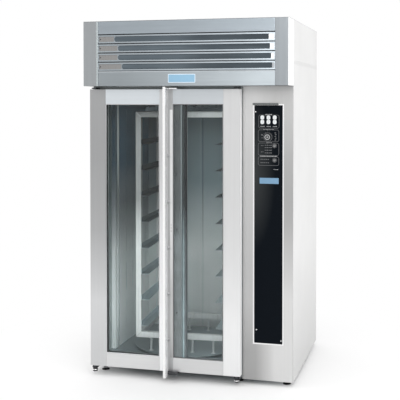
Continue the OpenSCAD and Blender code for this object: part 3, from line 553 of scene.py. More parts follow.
# Painted glint, dimmer, for the right end of the last louvre blade.
DIM_GLINT_STEEL = BrushedSteel("painted_dim_glint_steel", "hood_stainless", (0.45, 0.47, 0.49), 0.3)
BLADE_STEEL = BrushedSteel(
    "blade_steel", "hood_stainless", (0.37, 0.41, 0.44), 0.33, grain=Grain.ACROSS, cloud=0.08,
    shade_courses=(sideways((0.3, 1.0), (1.0, 1.4), (1.14, 1.8)),))
LEFT_POST_STEEL = BrushedSteel("left_post_steel", "hood_stainless", (0.344, 0.361, 0.373), 0.33)
RIGHT_POST_STEEL = BrushedSteel("right_post_steel", "hood_stainless", (0.316, 0.34, 0.36), 0.33)
LIGHT_BAR_STEEL = BrushedSteel(
    "light_bar_steel", "polished_steel", (0.16, 0.17, 0.17), 0.25, grain=Grain.ACROSS)
KEY_STEEL = BrushedSteel("key_steel", "polished_steel", (0.17, 0.172, 0.175), 0.35, metallic=0.6)
# Painted reflection: the dark field in each louvre blade stands for dark surroundings mirrored in it,
# lighter at its left end and darker towards the right.
REFLECTION_FIELD_STEEL = BrushedSteel(
    "painted_reflection_steel", "hood_stainless", (0.115, 0.14, 0.16), 0.16, grain=Grain.ACROSS, streak=0.15,
    cloud=0.3, shade_courses=(sideways((0.25, 1.3), (0.6, 1.15), (0.75, 0.8), (1.15, 0.7)),))
BRIGHT_STEEL = BrushedSteel("bright_steel", "polished_steel", (0.9, 0.9, 0.905), 0.14, streak=0.03)
CORNER_STEEL = BrushedSteel("corner_steel", "polished_steel", (0.5, 0.545, 0.556), 0.2)
# Painted shade: the cover strip darkens towards the bottom of the door.
STRIP_STEEL = BrushedSteel(
    "strip_steel", "polished_steel", (0.97, 0.975, 0.975), 0.3, metallic=0.6,
    shade_courses=(upright((0.1, 0.35), (0.25, 0.6), (0.6, 0.63), (0.8, 0.78), (1.0, 0.83), (1.6, 0.87)),))
# Painted light and shade: the rib's tone rises and falls with height.
BAFFLE_EDGE_STEEL = BrushedSteel(
    "baffle_edge_steel", "liner_steel", (0.68, 0.72, 0.72), 0.35, metallic=0.3,
    shade_courses=(
        upright(
            (0.16, 0.75), (0.3, 1.05), (0.75, 0.8), (0.95, 0.4), (1.1, 0.27), (1.3, 0.6), (1.6, 0.8)),))
# Painted light: the glass beads are one polished steel, a lighter copy with a course of painted
# reflection on the left leaf and a darker copy on the right.
LEFT_BEAD_STEEL = BrushedSteel(
    "left_bead_steel", "polished_steel", (0.56, 0.57, 0.58), 0.2,
    shade_courses=(upright((0.6, 1.3), (0.85, 0.85), (1.1, 0.66), (1.6, 1.0)),))
RIGHT_BEAD_STEEL = BrushedSteel("right_bead_steel", "polished_steel", (0.24, 0.245, 0.25), 0.2)
# Painted light: the pull's front is near-white where lit; its side is a darker copy, lighter low down,
# as painted shade.
BAR_STEEL = BrushedSteel(
    "bar_steel", "polished_steel", (0.97, 0.97, 0.97), 0.2, streak=0.02, cloud=0.02)
BAR_SIDE_SHADE_STEEL = BrushedSteel(
    "bar_side_painted_shade", "polished_steel", (0.61, 0.615, 0.62), 0.25, metallic=0.4,
    shade_courses=(upright((0.16, 1.5), (0.3, 1.6), (0.6, 1.6), (0.8, 1.32), (0.95, 1.12), (1.4, 0.95)),))
PILLAR_STEEL = BrushedSteel("pillar_steel", "polished_steel", (0.36, 0.365, 0.37), 0.3)
POST_STEEL = BrushedSteel("post_steel", "rack_steel", (0.78, 0.8, 0.8), 0.3, metallic=0.3)
TURNED_EDGE_STEEL = BrushedSteel("turned_edge_steel", "polished_steel", (0.265, 0.3, 0.312), 0.3)
# Painted shade: the rack's tubes darken with height, most on their left part.
RACK_STEEL = BrushedSteel(
    "rack_steel_brushed", "rack_steel", (0.95, 0.955, 0.95), 0.3, metallic=0.15,
    shade_courses=(
        upright(
            (0.78, 1.0), (0.95, 0.7), (1.08, 0.38), (1.6, 0.35), (1.64, 0.21),
            part=(0, LEFT + 0.6, LEFT + 0.4)),))
# Painted light: the runners' dark tone is raised many times towards the bottom.
RUNNER_STEEL = BrushedSteel(
    "runner_steel", "rack_steel", (0.09, 0.1, 0.105), 0.36, grain=Grain.DEEP,
    shade_courses=(upright((0.5, 7.0), (0.8, 5.0), (1.0, 2.0), (1.3, 0.8)),))
YOKE_STEEL = BrushedSteel("yoke_steel", "rack_steel", (0.14, 0.17, 0.19), 0.34, grain=Grain.LEVEL)
PLATE_STEEL = BrushedSteel("plate_steel", "rack_steel", (0.62, 0.64, 0.65), 0.36, grain=Grain.LEVEL)
LINER = LinerSteel("liner_sheet", "liner_steel", (0.34, 0.375, 0.38), 0.42)
# Painted shade and reflection: the rear, side and left liners take a dark, bluish upper colour towards
# the top of the chamber, and their courses change their tone with height, mostly lighter low down.
REAR_LINER = LinerSteel(
    "rear_liner_sheet", "liner_steel", (0.9, 0.97, 0.95), 0.42, tint=(0.8, 0.85, 0.82),
    upper=(0.3, 0.39, 0.42), rise=(0.7, 1.15),
    shade_courses=(
        upright(
            (0.3, 1.3), (0.6, 1.2), (0.75, 1.0), (1.15, 0.5), part=(0, LEFT + 0.45, LEFT + 0.2)),
        upright((1.45, 1.0), (1.62, 0.6))))
# Painted light and shade: a lit strip and a shaded strip on the two sides of the rear wall's seam.
SEAM_LIT = LinerSteel(
    "seam_lit_side_sheet", "liner_steel", (0.95, 1.0, 0.98), 0.42, tint=(0.9, 0.94, 0.92),
    upper=(0.38, 0.47, 0.49), rise=(0.62, 1.1), shade_courses=(upright((1.45, 1.0), (1.62, 0.6)),))
SEAM_SHADED = LinerSteel(
    "seam_shaded_side_sheet", "liner_steel", (0.8, 0.86, 0.84), 0.42, tint=(0.7, 0.75, 0.72),
    upper=(0.16, 0.21, 0.23), rise=(0.62, 1.1), shade_courses=(upright((1.45, 1.0), (1.62, 0.6)),))
SIDE_LINER = LinerSteel(
    "side_liner_sheet", "liner_steel", (0.92, 0.97, 0.96), 0.42, tint=(0.8, 0.85, 0.82),
    upper=(0.09, 0.17, 0.24), rise=(0.75, 1.3),
    shade_courses=(
        upright((0.3, 1.5), (0.68, 1.0), (0.85, 0.7), (1.05, 0.45)),
        upright((1.05, 1.0), (1.3, 2.0), (1.6, 3.0), part=(1, *deep(0.24, 0.3))),))
WALL_LINER = LinerSteel(
    "wall_liner_sheet", "liner_steel", (0.5, 0.55, 0.55), 0.42, tint=(0.42, 0.45, 0.43),
    upper=(0.13, 0.16, 0.165), rise=(0.5, 1.1))
# Painted shade: the chamber's floor and the turntable are darker towards the left.
FLOOR_LINER = LinerSteel(
    "floor_sheet", "liner_steel", (0.39, 0.45, 0.48), 0.4,
    shade_courses=(sideways((0.45, 0.75), (0.75, 1.1)),))
# Painted light and shade: the side panels are stainless shown as near-white enamel where lit, darker
# towards the floor, with a thin painted shadow line along the seam near 1.94 m.
SIDE_LIT_SHEET = Enamel(
    "side_lit_sheet", "side_paint", (0.81, 0.81, 0.806), 0.38, relief=0.08, coat=0.1,
    shade_courses=(
        upright(
            (0.1, 0.71), (0.47, 0.85), (0.8, 0.955), (1.1, 0.965), (1.93, 0.945), (1.94, 0.86),
            (1.948, 0.86), (1.96, 0.945)),))
BLUE_ENAMEL = Enamel("blue_enamel", "blue_plate", (0.235, 0.41, 0.555), 0.3, relief=0.05)
DIM_BLUE_ENAMEL = Enamel("dim_blue_enamel", "blue_plate", (0.155, 0.286, 0.425), 0.3, relief=0.05)
PALE_ENAMEL = Enamel("pale_enamel", "blue_plate", (0.72, 0.83, 0.92), 0.3, relief=0.05)
MOTOR_ENAMEL = Enamel(
    "motor_enamel", "motor_paint", (0.09, 0.11, 0.14), 0.45, relief=0.35, scale=180)
PRINT_GREY = Enamel("print_grey", "black_gloss", (0.1, 0.103, 0.108), 0.5, relief=0.05)
PRINT_PALE = Enamel("print_pale", "black_gloss", (0.4, 0.405, 0.41), 0.5, relief=0.05)
FASCIA_BLACK = GlossBlack(
    "fascia_black", "black_gloss", (0.0025, 0.0042, 0.0068),
    haze_at=(LEFT + 1.02, FACE, 1.28 * GlossBlack.squeeze), haze_r=0.14)
RUBBER = Moulded("seal_rubber_skin", "seal_rubber", (0.02, 0.021, 0.022), 0.6)
FOOT_PLASTIC = Moulded("foot_plastic", "foot_black", (0.015, 0.015, 0.016), 0.5)
DARK_PLASTIC = Moulded("dark_plastic", "black_plastic", (0.03, 0.031, 0.034), 0.45)
# Painted light: the latch channel, the pane spacer and the seal are several times lighter low down than
# higher up.
HOUSING_GREY = Moulded(
    "housing_grey", "black_plastic", (0.07, 0.078, 0.08), 0.45,
    shade_courses=(upright((0.85, 2.4), (1.1, 1.0)),))
SPACER_RUBBER = Moulded(
    "spacer_skin", "seal_rubber", (0.03, 0.034, 0.036), 0.6,
    shade_courses=(upright((0.3, 5.0), (0.8, 3.6), (1.1, 0.8)),))
SEAL_RUBBER = Moulded(
    "seal_skin", "seal_rubber", (0.032, 0.04, 0.042), 0.6,
    shade_courses=(upright((0.3, 11.0), (0.8, 7.5), (1.1, 1.0)),))
KNOB_PLASTIC = Moulded("knob_plastic", "knob_grey", (0.035, 0.037, 0.039), 0.4, relief=0.15)
MACHINE_STEEL = Machined("machine_steel_turned", "machine_steel", (0.34, 0.35, 0.37), 0.34)
DARK_METAL = Machined("dark_metal", "machine_steel", (0.06, 0.062, 0.068), 0.42)
BRASS = Machined("brass_turned", "brass", (0.6, 0.42, 0.17), 0.28)
ELEMENT = HeatStained("element_sheath", "machine_steel", (0.07, 0.075, 0.09))
CIRCUIT = Board("circuit_board", "circuit", (0.02, 0.12, 0.06))
DIGIT_WHITE = Lit("digit_white", "display_white", (0.66, 0.68, 0.69), glow=0.08)
LAMP_LENS = Lit("lamp_lens", "lamp_glass", (0.85, 0.86, 0.82), glow=0.15)
DOOR_PANE = Pane("door_pane", "tinted_glass", (0.97, 0.985, 0.985))

NODE_FINISHES: dict[str, Finish] = {
    "base_slab": FLOOR_LINER, "left_side_panel": SIDE_LIT_SHEET, "right_side_panel": SIDE_LIT_SHEET,
    "rear_panel": SHELL_STEEL, "roof_panel": SHELL_STEEL, "left_wall": WALL_LINER,
    "rear_wall": REAR_LINER,
    "ceiling_slab": LINER, "plenum_wall": LINER, "left_air_baffle": SIDE_LINER,
    "right_air_baffle": LINER,
    "door_surround": LINER, "door_gasket": RUBBER, "hood_filter": PLATE_STEEL,
    "contactor_rail": DARK_PLASTIC, "control_board": CIRCUIT, "heater_rings": ELEMENT,
    "fan_shroud": PLATE_STEEL, "fan_motor": MOTOR_ENAMEL, "steam_pipe": BRASS, "water_inlet": BRASS,
    "drain_stub": PLATE_STEEL, "cable_gland": DARK_PLASTIC, "cavity_lamp": LAMP_LENS,
    "gearmotor": MOTOR_ENAMEL, "spindle_bearing": MACHINE_STEEL, "exhaust_fan_case": SHELL_STEEL,
    "exhaust_motor": MOTOR_ENAMEL, "flue_spigot": SHELL_STEEL, "floor_pivot": MACHINE_STEEL,
    "exhaust_impeller": PLATE_STEEL, "convection_impeller": PLATE_STEEL, "damper_flap": PLATE_STEEL,
    "drive_pinion": MACHINE_STEEL, "driven_gear": MACHINE_STEEL, "rack_spindle": MACHINE_STEEL,
    "drive_yoke": YOKE_STEEL, "left_door_glass": DOOR_PANE, "right_door_glass": DOOR_PANE,
}

# ---------------------------------------------------------------- the bench

FaceTest = Callable[[Vector, Vector], bool]


class Work:
    """One mesh on the bench, shaped step by step."""

    def __init__(self, obj: bpy.types.Object) -> None:
        """Takes up an object."""
        self.obj = obj

    @staticmethod
    def clear() -> None:
        """Deselects everything."""
        bpy.ops.object.select_all(action="DESELECT")

    @classmethod
    def picked(cls, name: str) -> "Work":
        """Names the primitive that was just added and takes it up."""
        obj = bpy.context.active_object
        obj.name = name
        obj.data.name = name
        return cls(obj)

    @classmethod
    def block(cls, name: str, box: Box) -> "Work":
        """Adds a block that fills a box."""
        cls.clear()
        spans = (box.x, box.y, box.z)
        bpy.ops.mesh.primitive_cube_add(size=1, location=[sum(span) / 2 for span in spans])
        work = cls.picked(name)
        work.obj.scale = [abs(span[1] - span[0]) for span in spans]
        return work.fixed()

    @classmethod
    def rod(cls, name: str, start: Vector, axis: Axis, length: float, radius: float, sides: int = 32,
            tip: float | None = None) -> "Work":
        """Adds a rod, a cone or a prism.

        Args:
            name: Name of the piece.
            start: Middle of its first end.
            axis: Direction in which it runs.
            length: Length along that direction.
            radius: Radius at the first end.
            sides: Number of sides.
            tip: Radius at the other end, if it differs.

        Returns:
            The rod on the bench.
        """
        cls.clear()
        bpy.ops.mesh.primitive_cone_add(vertices=sides, radius1=radius,
                                        radius2=radius if tip is None else tip,
                                        depth=length, location=(0, 0, length / 2))
        work = cls.picked(name)
        work.obj.matrix_world = Matrix.Translation(start) @ axis.turn() @ work.obj.matrix_world
        return work.fixed()

    @classmethod
    def turned(cls, name: str, foot: Vector, axis: Axis, profile: Sequence[tuple[float, float]],
               steps: int = 40) -> "Work":
        """Spins a profile of radius and height round an axis.

        Args:
            name: Name of the piece.
            foot: Point on the axis at height 0.
            axis: Direction of the axis.
            profile: Radius and height of each point.
            steps: Number of steps in the whole turn.

        Returns:
            The turned piece on the bench.
        """
        cls.clear()
        bpy.ops.mesh.primitive_plane_add(size=0.001)
        work = cls.picked(name)
        with work.edit("VERT"):
            bpy.ops.mesh.select_all(action="SELECT")
            bpy.ops.mesh.merge(type="CENTER")
            radius, height = profile[0]
            bpy.ops.transform.translate(value=(radius, 0, height))
            for next_radius, next_height in profile[1:]:
                move = (next_radius - radius, 0, next_height - height)
                bpy.ops.mesh.extrude_region_move(TRANSFORM_OT_translate={"value": move})
                radius, height = next_radius, next_height
            bpy.ops.mesh.select_all(action="SELECT")
            bpy.ops.mesh.spin(steps=steps, angle=math.tau, center=(0, 0, 0), axis=(0, 0, 1))
            bpy.ops.mesh.select_all(action="SELECT")
            bpy.ops.mesh.remove_doubles(threshold=1e-6)
            bpy.ops.mesh.normals_make_consistent(inside=False)
        work.obj.matrix_world = Matrix.Translation(foot) @ axis.turn()
        return work.fixed()

    def fixed(self) -> "Work":
        """Writes the object's place, turn and scale into its mesh."""
        self.take()
        bpy.ops.object.transform_apply(location=True, rotation=True, scale=True)
        return self

    def take(self) -> None:
        """Makes this piece the only one that is selected."""
        self.clear()
        self.obj.select_set(True)
        bpy.context.view_layer.objects.active = self.obj

    @contextmanager
    def edit(self, mode: str = "FACE") -> Iterator[bmesh.types.BMesh]:
        """Opens the mesh in edit mode with nothing selected."""
        self.take()
        bpy.ops.object.mode_set(mode="EDIT")
        bpy.ops.mesh.select_mode(type=mode)
        bpy.ops.mesh.select_all(action="DESELECT")
        yield bmesh.from_edit_mesh(self.obj.data)
        bpy.ops.object.mode_set(mode="OBJECT")

    def pick(self, mesh: bmesh.types.BMesh, test: FaceTest) -> None:
        """Selects the faces whose centre and normal pass a test."""
        for face in mesh.faces:
            face.select_set(test(face.calc_center_median(), face.normal))
        bmesh.update_edit_mesh(self.obj.data)

    def inset(self, test: FaceTest, width: float, depth: float) -> "Work":
        """Insets the chosen faces and sinks them, or raises them where depth is positive."""
        with self.edit() as mesh:
            self.pick(mesh, test)
            bpy.ops.mesh.inset(thickness=width)
            bpy.ops.mesh.inset(thickness=min(abs(depth), width) * 0.15, depth=depth)
        return self

    def round_corners(self, axis: int, radius: float, segments: int = 6) -> "Work":
        """Rounds the edges that run along one axis."""
        with self.edit("EDGE") as mesh:
            for edge in mesh.edges:
                run = (edge.verts[1].co - edge.verts[0].co).normalized()
                edge.select_set(abs(run[axis]) > 0.99)
            bmesh.update_edit_mesh(self.obj.data)
            bpy.ops.mesh.bevel(offset=radius, segments=segments, affect="EDGES")
        return self

    def modifier(self, kind: str, **settings: object) -> "Work":
        """Adds a modifier and applies it."""
        self.take()
        modifier = self.obj.modifiers.new(kind.lower(), kind)
        for name, value in settings.items():
            setattr(modifier, name, value)
        bpy.ops.object.modifier_apply(modifier=modifier.name)
        return self

    def ease(self, width: float, segments: int = 2) -> "Work":
        """Rounds every sharp edge a little, as on folded or filed metal."""
        return self.modifier("BEVEL", width=width, segments=segments, limit_method="ANGLE",
                             angle_limit=math.radians(35))

    def cut(self, *cutters: "Work") -> "Work":
        """Takes other pieces' shapes out of this one and drops them."""
        for cutter in cutters:
            self.modifier("BOOLEAN", object=cutter.obj, operation="DIFFERENCE", solver="EXACT")
            bpy.data.objects.remove(cutter.obj)
        return self

    def join(self, *others: "Work") -> "Work":
        """Joins other pieces to this one."""
        self.take()
        for other in others:
            other.obj.select_set(True)
        bpy.ops.object.join()
        return self

    @staticmethod
    def gather(name: str, pieces: Sequence["Work"]) -> "Work":
        """Joins pieces into one that has a name of its own."""
        whole = pieces[0].join(*pieces[1:])
        whole.obj.name = name
        return whole

    def copy(self, name: str, move: Sequence[float] = (0, 0, 0)) -> "Work":
        """A moved copy with its own mesh."""
        self.take()
        bpy.ops.object.duplicate(linked=False)
        twin = self.picked(name)
        twin.obj.location = move
        return twin.fixed()

    def turn(self, about: Vector, angle: float) -> "Work":
        """Turns the mesh about an upright axis."""
        spin = Matrix.Translation(about) @ Matrix.Rotation(angle, 4, "Z") @ Matrix.Translation(-about)
        self.obj.matrix_world = spin
        return self.fixed()

    def settle(self, body: Body, finish: Finish, stands_for: Sequence[str] = (),
               angle: float = 32) -> "Work":
        """Finishes the piece: shading, material and body.

        Args:
            body: Body that the piece rides on.
            finish: Finish of its surface.
            stands_for: CAD nodes that it replaces.
            angle: Edges sharper than this stay crisp, in degrees.

        Returns:
            The finished piece.
        """
        self.take()
        bpy.ops.object.shade_smooth_by_angle(angle=math.radians(angle))
        self.modifier("WEIGHTED_NORMAL", keep_sharp=True, weight=100)
        self.obj.data.materials.clear()
        self.obj.data.materials.append(finish.material())
        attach(self.obj, body.value)
        if stands_for:
            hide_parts(*stands_for)
        LOG.info("%s rides on %s in %s", self.obj.name, body.value, finish.name)
        return self


def is_back(_centre: Vector, normal: Vector) -> bool:
    """Whether a face looks straight to the rear."""
    return normal.y > 0.999


def bar(name: str, box: Box, edge: float = 0.0012) -> Work:
    """Closed sheet section with softly folded edges."""
    return Work.block(name, box).ease(edge)


def upright_ring(name: str, box: Box, width: float, edge: float = 0.0005) -> Work:
    """Flat frame round an upright opening."""
    hole = box.grown(-width, 0.01, -width)
    return Work.block(name, box).cut(Work.block("hole", hole)).ease(edge)


def rounded_plate(name: str, box: Box, radius: float, edge: float = 0.0004) -> Work:
    """Upright plate with rounded corners, seen from the front."""
    return Work.block(name, box).round_corners(1, radius).ease(edge)


def rounded_ring(name: str, box: Box, radius: float, width: float) -> Work:
    """Upright line frame with rounded corners."""
    hole = Work.block("hole", box.grown(-width, 0.01, -width)).round_corners(1, radius - width)
    return Work.block(name, box).round_corners(1, radius).cut(hole)


def pan_screw(name: str, foot: Vector, axis: Axis, radius: float = 0.004) -> Work:
    """Pan-head screw with a round recess for the driver."""
    rise = radius * 0.55
    profile = [(0, -0.0005), (radius, -0.0005), (radius, rise * 0.35), (radius * 0.8, rise * 0.85),
               (radius * 0.4, rise), (radius * 0.3, rise * 0.45), (0, rise * 0.3)]
    return Work.turned(name, foot, axis, profile, 14)


# ---------------------------------------------------------------- hood


@dataclass
class Hood:
    """Extraction hood: corner posts, rails, pressed louvre blades and a blank plate."""

    shell: Box
    post_w: float = 0.084
    post_d: float = 0.04
    bead_w: float = 0.0115
    corner: float = 0.006
    sheet: float = 0.002
    top_rail: float = 0.08
    low_rail: float = 0.09
    blades: int = 4
    pitch: float = 0.0555
    blade_h: float = 0.05
    plate_x: Span = (0.541, 0.709)
    plate_z: Span = (1.825, 1.876)
    blade_lip: float = 0.0095
    blade_sunk: float = 0.007
    field_starts: tuple[float, ...] = (0.198, 0.221, 0.221, 0.246)
    glint_starts: tuple[float, ...] = (1.150, 1.157, 1.164, 1.170)

    def __post_init__(self) -> None:
        """Works out the span that the posts and the bead leave free."""
        self.between = (self.shell.x[0] + self.post_w + self.bead_w, self.shell.x[1] - self.post_w)

    def build(self) -> None:
        """Builds every piece of the hood."""
        self.posts()
        self.rails()
        self.covers()
        self.louvres()
        self.plate()

    def posts(self) -> None:
        """Folded corner posts, with a bright bead along the inner edge of the left one."""
        low, high = self.shell.x
        front = self.shell.y[0]
        z = (self.shell.z[0], self.shell.z[1] - self.sheet)
        for side, x, finish in (("left", (low, low + self.post_w), LEFT_POST_STEEL),
                                ("right", (high - self.post_w, high - self.corner), RIGHT_POST_STEEL)):
            post = bar(f"hood_post_{side}", Box(x, (front, front + self.post_d), z), 0.0025)
            post.inset(is_back, 0.004, -0.03)
            post.settle(Body.CABINET, finish, ["hood_shell"])
        bead = Box((low + self.post_w, low + self.post_w + self.bead_w), (front, front + 0.012), z)
        bar("hood_bead", bead, 0.002).settle(Body.CABINET, CORNER_STEEL)
        # Painted highlight: a near-white strip down the hood's right corner.
        corner = Box((high - self.corner, high), (front, front + self.post_d), z)
        bar("hood_corner_highlight", corner, 0.0015).settle(Body.CABINET, EDGE_STEEL)

    def rails(self) -> None:
        """Rails over and under the louvres, each with a lip turned back along its open edge."""
        x = self.between
        front = self.shell.y[0] + self.sheet
        top = self.shell.z[1] - self.sheet
        low = self.shell.z[0]
        upper = (top + self.sheet - self.top_rail, top)
        for name, z, finish in (("hood_top_rail", upper, TOP_RAIL_STEEL),
                                ("hood_low_rail", (low, low + self.low_rail), LOW_RAIL_STEEL)):
            rail = bar(name, Box(x, (front, front + 0.03), z), 0.003)
            rail.inset(is_back, 0.004, -0.024)
            rail.settle(Body.CABINET, finish)
        lip = Box(x, (front - 0.0006, front + 0.002),
                  (low + self.low_rail - 0.006, low + self.low_rail - 0.001))
        bar("hood_low_rail_lip", lip, 0.0005).settle(Body.CABINET, LIP_STEEL)

    def covers(self) -> None:
        """Top sheet, end sheets and the frame of the underside."""
        x, (front, back), (low, top) = self.shell.x, self.shell.y, self.shell.z
        lid = bar("hood_top_sheet", Box(x, (front, back), (top - self.sheet, top)), 0.0008)
        lid.settle(Body.CABINET, SHELL_STEEL)
        # Painted light: the right end sheet is near-white, lit from the right; the left end takes the
        # left post's darker copy.
        for side, span, finish in (("left", (x[0], x[0] + self.sheet), LEFT_POST_STEEL),
                                   ("right", (x[1] - self.sheet, x[1]), EDGE_STEEL)):
            box = Box(span, (front + self.post_d, back), (low, top - self.sheet))
            bar(f"hood_end_{side}", box, 0.0006).settle(Body.CABINET, finish)
        inside = (x[0] + self.sheet, x[1] - self.sheet)
        floor = Box(inside, (front + 0.032, back), (low, low + self.sheet))
        tray = Work.block("hood_underside", floor)
        mouth = Box.of("hood_filter")
        tray.cut(Work.block("mouth", mouth.grown(0, 0, 0.02))).ease(0.0005)
        tray.settle(Body.CABINET, SHELL_STEEL)

    def louvres(self) -> None:
        """Pressed blades: a lip all round, a sunk floor and a dark field with rounded ends that is a
        painted reflection.
        """
        x = self.between
        front = self.shell.y[0] + self.sheet + 0.001
        top = Box.of("hood_louvres").z[1] + 0.001
        lip, sunk = self.blade_lip, self.blade_sunk
        whole = Box(x, (front, front + 0.013), (top - self.blade_h, top))
        dish = Box((x[0] + 0.004, x[1] - 0.004), (front - 0.01, front + sunk),
                   (top - self.blade_h + lip, top - lip))
        pocket = Work.block("pocket", dish).round_corners(1, 0.006)
        blade = Work.block("louvre_blade_1", whole).cut(pocket).ease(0.0016, 3)
        for i in range(self.blades):
            drop = (0, 0, -self.pitch * i)
            start = self.field_starts[i]
            field = Box(across(start, self.glint_starts[i] + 0.004),
                        (front + sunk - 0.002, front + sunk + 0.001),
                        (top - self.blade_h + lip + 0.001 + drop[2], top - lip - 0.001 + drop[2]))
            dark = Work.block(f"louvre_painted_reflection_{i + 1}", field).round_corners(1, 0.012, 8).ease(0.0015, 3)
            dark.settle(Body.CABINET, REFLECTION_FIELD_STEEL)
            self.blade_ends(i, front + sunk, (field.z[0] - 0.004, field.z[1] + 0.004))
            if i:
                blade.copy(f"louvre_blade_{i + 1}",
                           drop).settle(Body.CABINET, BLADE_STEEL, ["hood_louvres"])
        blade.settle(Body.CABINET, BLADE_STEEL, ["hood_louvres"])

    def blade_ends(self, i: int, floor: float, z: Span) -> None:
        """Dull plate at a blade's left end, with a screw in it, and a painted glint at its right end.
        """
        left = Box((self.between[0] + 0.005, LEFT + self.field_starts[i] - 0.003),
                   (floor - 0.001, floor + 0.0005), z)
        rounded_plate(f"louvre_left_plate_{i + 1}", left, 0.003).settle(Body.CABINET, PLATE_END_STEEL)
        spot = Vector((left.x[0] + 0.008, floor - 0.001, sum(z) / 2))
        pan_screw(f"louvre_screw_{i + 1}", spot, Axis.FRONT, 0.0035).settle(Body.CABINET, DARK_METAL)
        # Painted glint: a near-white rounded patch at the blade's right end, dimmer on the last blade.
        right = Box((LEFT + self.glint_starts[i], self.between[1] - 0.0045),
                    (floor - 0.004, floor), (z[0] - 0.001, z[1] + 0.001))
        rounded_plate(f"louvre_right_glint_{i + 1}", right, 0.005).settle(
            Body.CABINET, DIM_GLINT_STEEL if i == self.blades - 1 else EDGE_STEEL)

    def plate(self) -> None:
        """Blank plate with a pale raised rim, on the lower rail."""
        front = self.shell.y[0]
        box = Box(across(*self.plate_x), (front, front + self.sheet), self.plate_z)
        rounded_ring("hood_plate_rim", box, 0.004, 0.003).settle(Body.CABINET, PALE_ENAMEL)
        inner = box.grown(-0.003, -0.0003, -0.003)
        rounded_plate("hood_plate", inner, 0.0025).settle(Body.CABINET, BLUE_ENAMEL, ["blank_plates"])


# ---------------------------------------------------------------- doors


@dataclass
class Leaf:
    """Glazed leaf: stiles, rails, glass beads and pivot pins."""

    side: str
    body: Body
    pivot_on_left: bool
    low_rail: float = 0.086
    top_rail: float = 0.091
    rebate: float = 0.008
    lip: float = 0.004
    pane_grip: float = 0.0075
    pivot_in: float = 0.025

    def __post_init__(self) -> None:
        """Reads the leaf's outline and its opening from the CAD nodes."""
        outline = Box.of(f"{self.side}_door_frame")
        self.opening = Box.of(f"{self.side}_door_glass").grown(-self.pane_grip, 0, -self.pane_grip)
        low, high = self.opening.z
        self.frame = Box(outline.x, outline.y, (low - self.low_rail, high + self.top_rail))

    def build(self) -> None:
        """Builds every piece of the leaf."""
        self.members()
        self.pins()
        self.glazing()

    def members(self) -> None:
        """Stiles over the full height and rails between them, rebated for the glass."""
        frame, hole = self.frame, self.opening
        stiles = ((LEFT_STILE_STEEL, LEFT_MEET_STEEL) if self.side == "left" else
                  (RIGHT_MEET_STEEL, RIGHT_STILE_STEEL))
        parts = (
            ("left_stile", Box((frame.x[0], hole.x[0]), frame.y, frame.z), stiles[0]),
            ("right_stile", Box((hole.x[1], frame.x[1]), frame.y, frame.z), stiles[1]),
            ("top_rail", Box(hole.x, frame.y, (hole.z[1], frame.z[1])), UPPER_RAIL_STEEL),
            ("low_rail", Box(hole.x, frame.y, (frame.z[0], hole.z[0])), LOWER_RAIL_STEEL),
        )
        seat = Box((hole.x[0] - self.rebate, hole.x[1] + self.rebate),
                   (frame.y[0] + self.lip, frame.y[1] + 0.01),
                   (hole.z[0] - self.rebate, hole.z[1] + self.rebate))
        for name, box, finish in parts:
            member = bar(f"{self.side}_leaf_{name}", box, 0.0014).cut(Work.block("seat", seat))
            member.settle(self.body, finish, [f"{self.side}_door_frame"])
        # Painted highlight: a thin near-white sheet on the leaf's outer edge.
        edge = Box((frame.x[1] - 0.0005, frame.x[1] + 0.0005), (frame.y[0] + 0.002, frame.y[1] - 0.002),
                   (frame.z[0] + 0.002, frame.z[1] - 0.002))
        bar(f"{self.side}_leaf_edge_highlight", edge, 0.0003).settle(self.body, EDGE_STEEL)

    def pins(self) -> None:
        """Pivot pins over and under the leaf."""
        frame = self.frame
        x = frame.x[0] + self.pivot_in if self.pivot_on_left else frame.x[1] - self.pivot_in
        y = frame.y[0] + PIN_IN
        for level, z, axis, length in (("upper", frame.z[1], Axis.UP, 0.013),
                                       ("lower", frame.z[0], Axis.DOWN, 0.032)):
            shape = [(0, -0.002), (PIN_R, -0.002), (PIN_R, length - 0.001), (PIN_R - 0.001, length),
                     (0, length)]
            pin = Work.turned(f"{self.side}_leaf_{level}_pin", Vector((x, y, z)), axis, shape)
            pin.settle(self.body, MACHINE_STEEL)

    def glazing(self) -> None:
        """Bead in front of the glass, spacer between the panes, and the rear glazing frame."""
        hole, (front, back) = self.opening, self.frame.y
        covered = self.side == "right"
        inner_x = Box.of("latch_stile").x[1] - self.rebate if covered else hole.x[0] - self.rebate
        hold = self.rebate + (0.002 if covered else 0.004)
        z = (hole.z[0] - self.rebate, hole.z[1] + self.rebate)
        bead = Box(hole.x, (front + 0.0003, front + self.lip), hole.z)
        upright_ring(f"{self.side}_glass_bead", bead, 0.005, 0.0012).settle(
            self.body, LEFT_BEAD_STEEL if self.side == "left" else RIGHT_BEAD_STEEL,
            [f"{self.side}_glass_trim"])
        spacer = Box((inner_x, hole.x[1] + self.rebate), (front + self.lip + 0.006, back - 0.01), z)
        spacer_w = self.rebate + (0.002 if covered else 0.0)
        upright_ring(f"{self.side}_pane_spacer", spacer, spacer_w).settle(
            self.body, SPACER_RUBBER if covered else DARK_PLASTIC)
        rear = Box(spacer.x, (back - 0.005, back - 0.0005), z)
        ring = upright_ring(f"{self.side}_rear_glazing", rear, hold, 0.001)
        ring.settle(self.body, PLATE_STEEL)


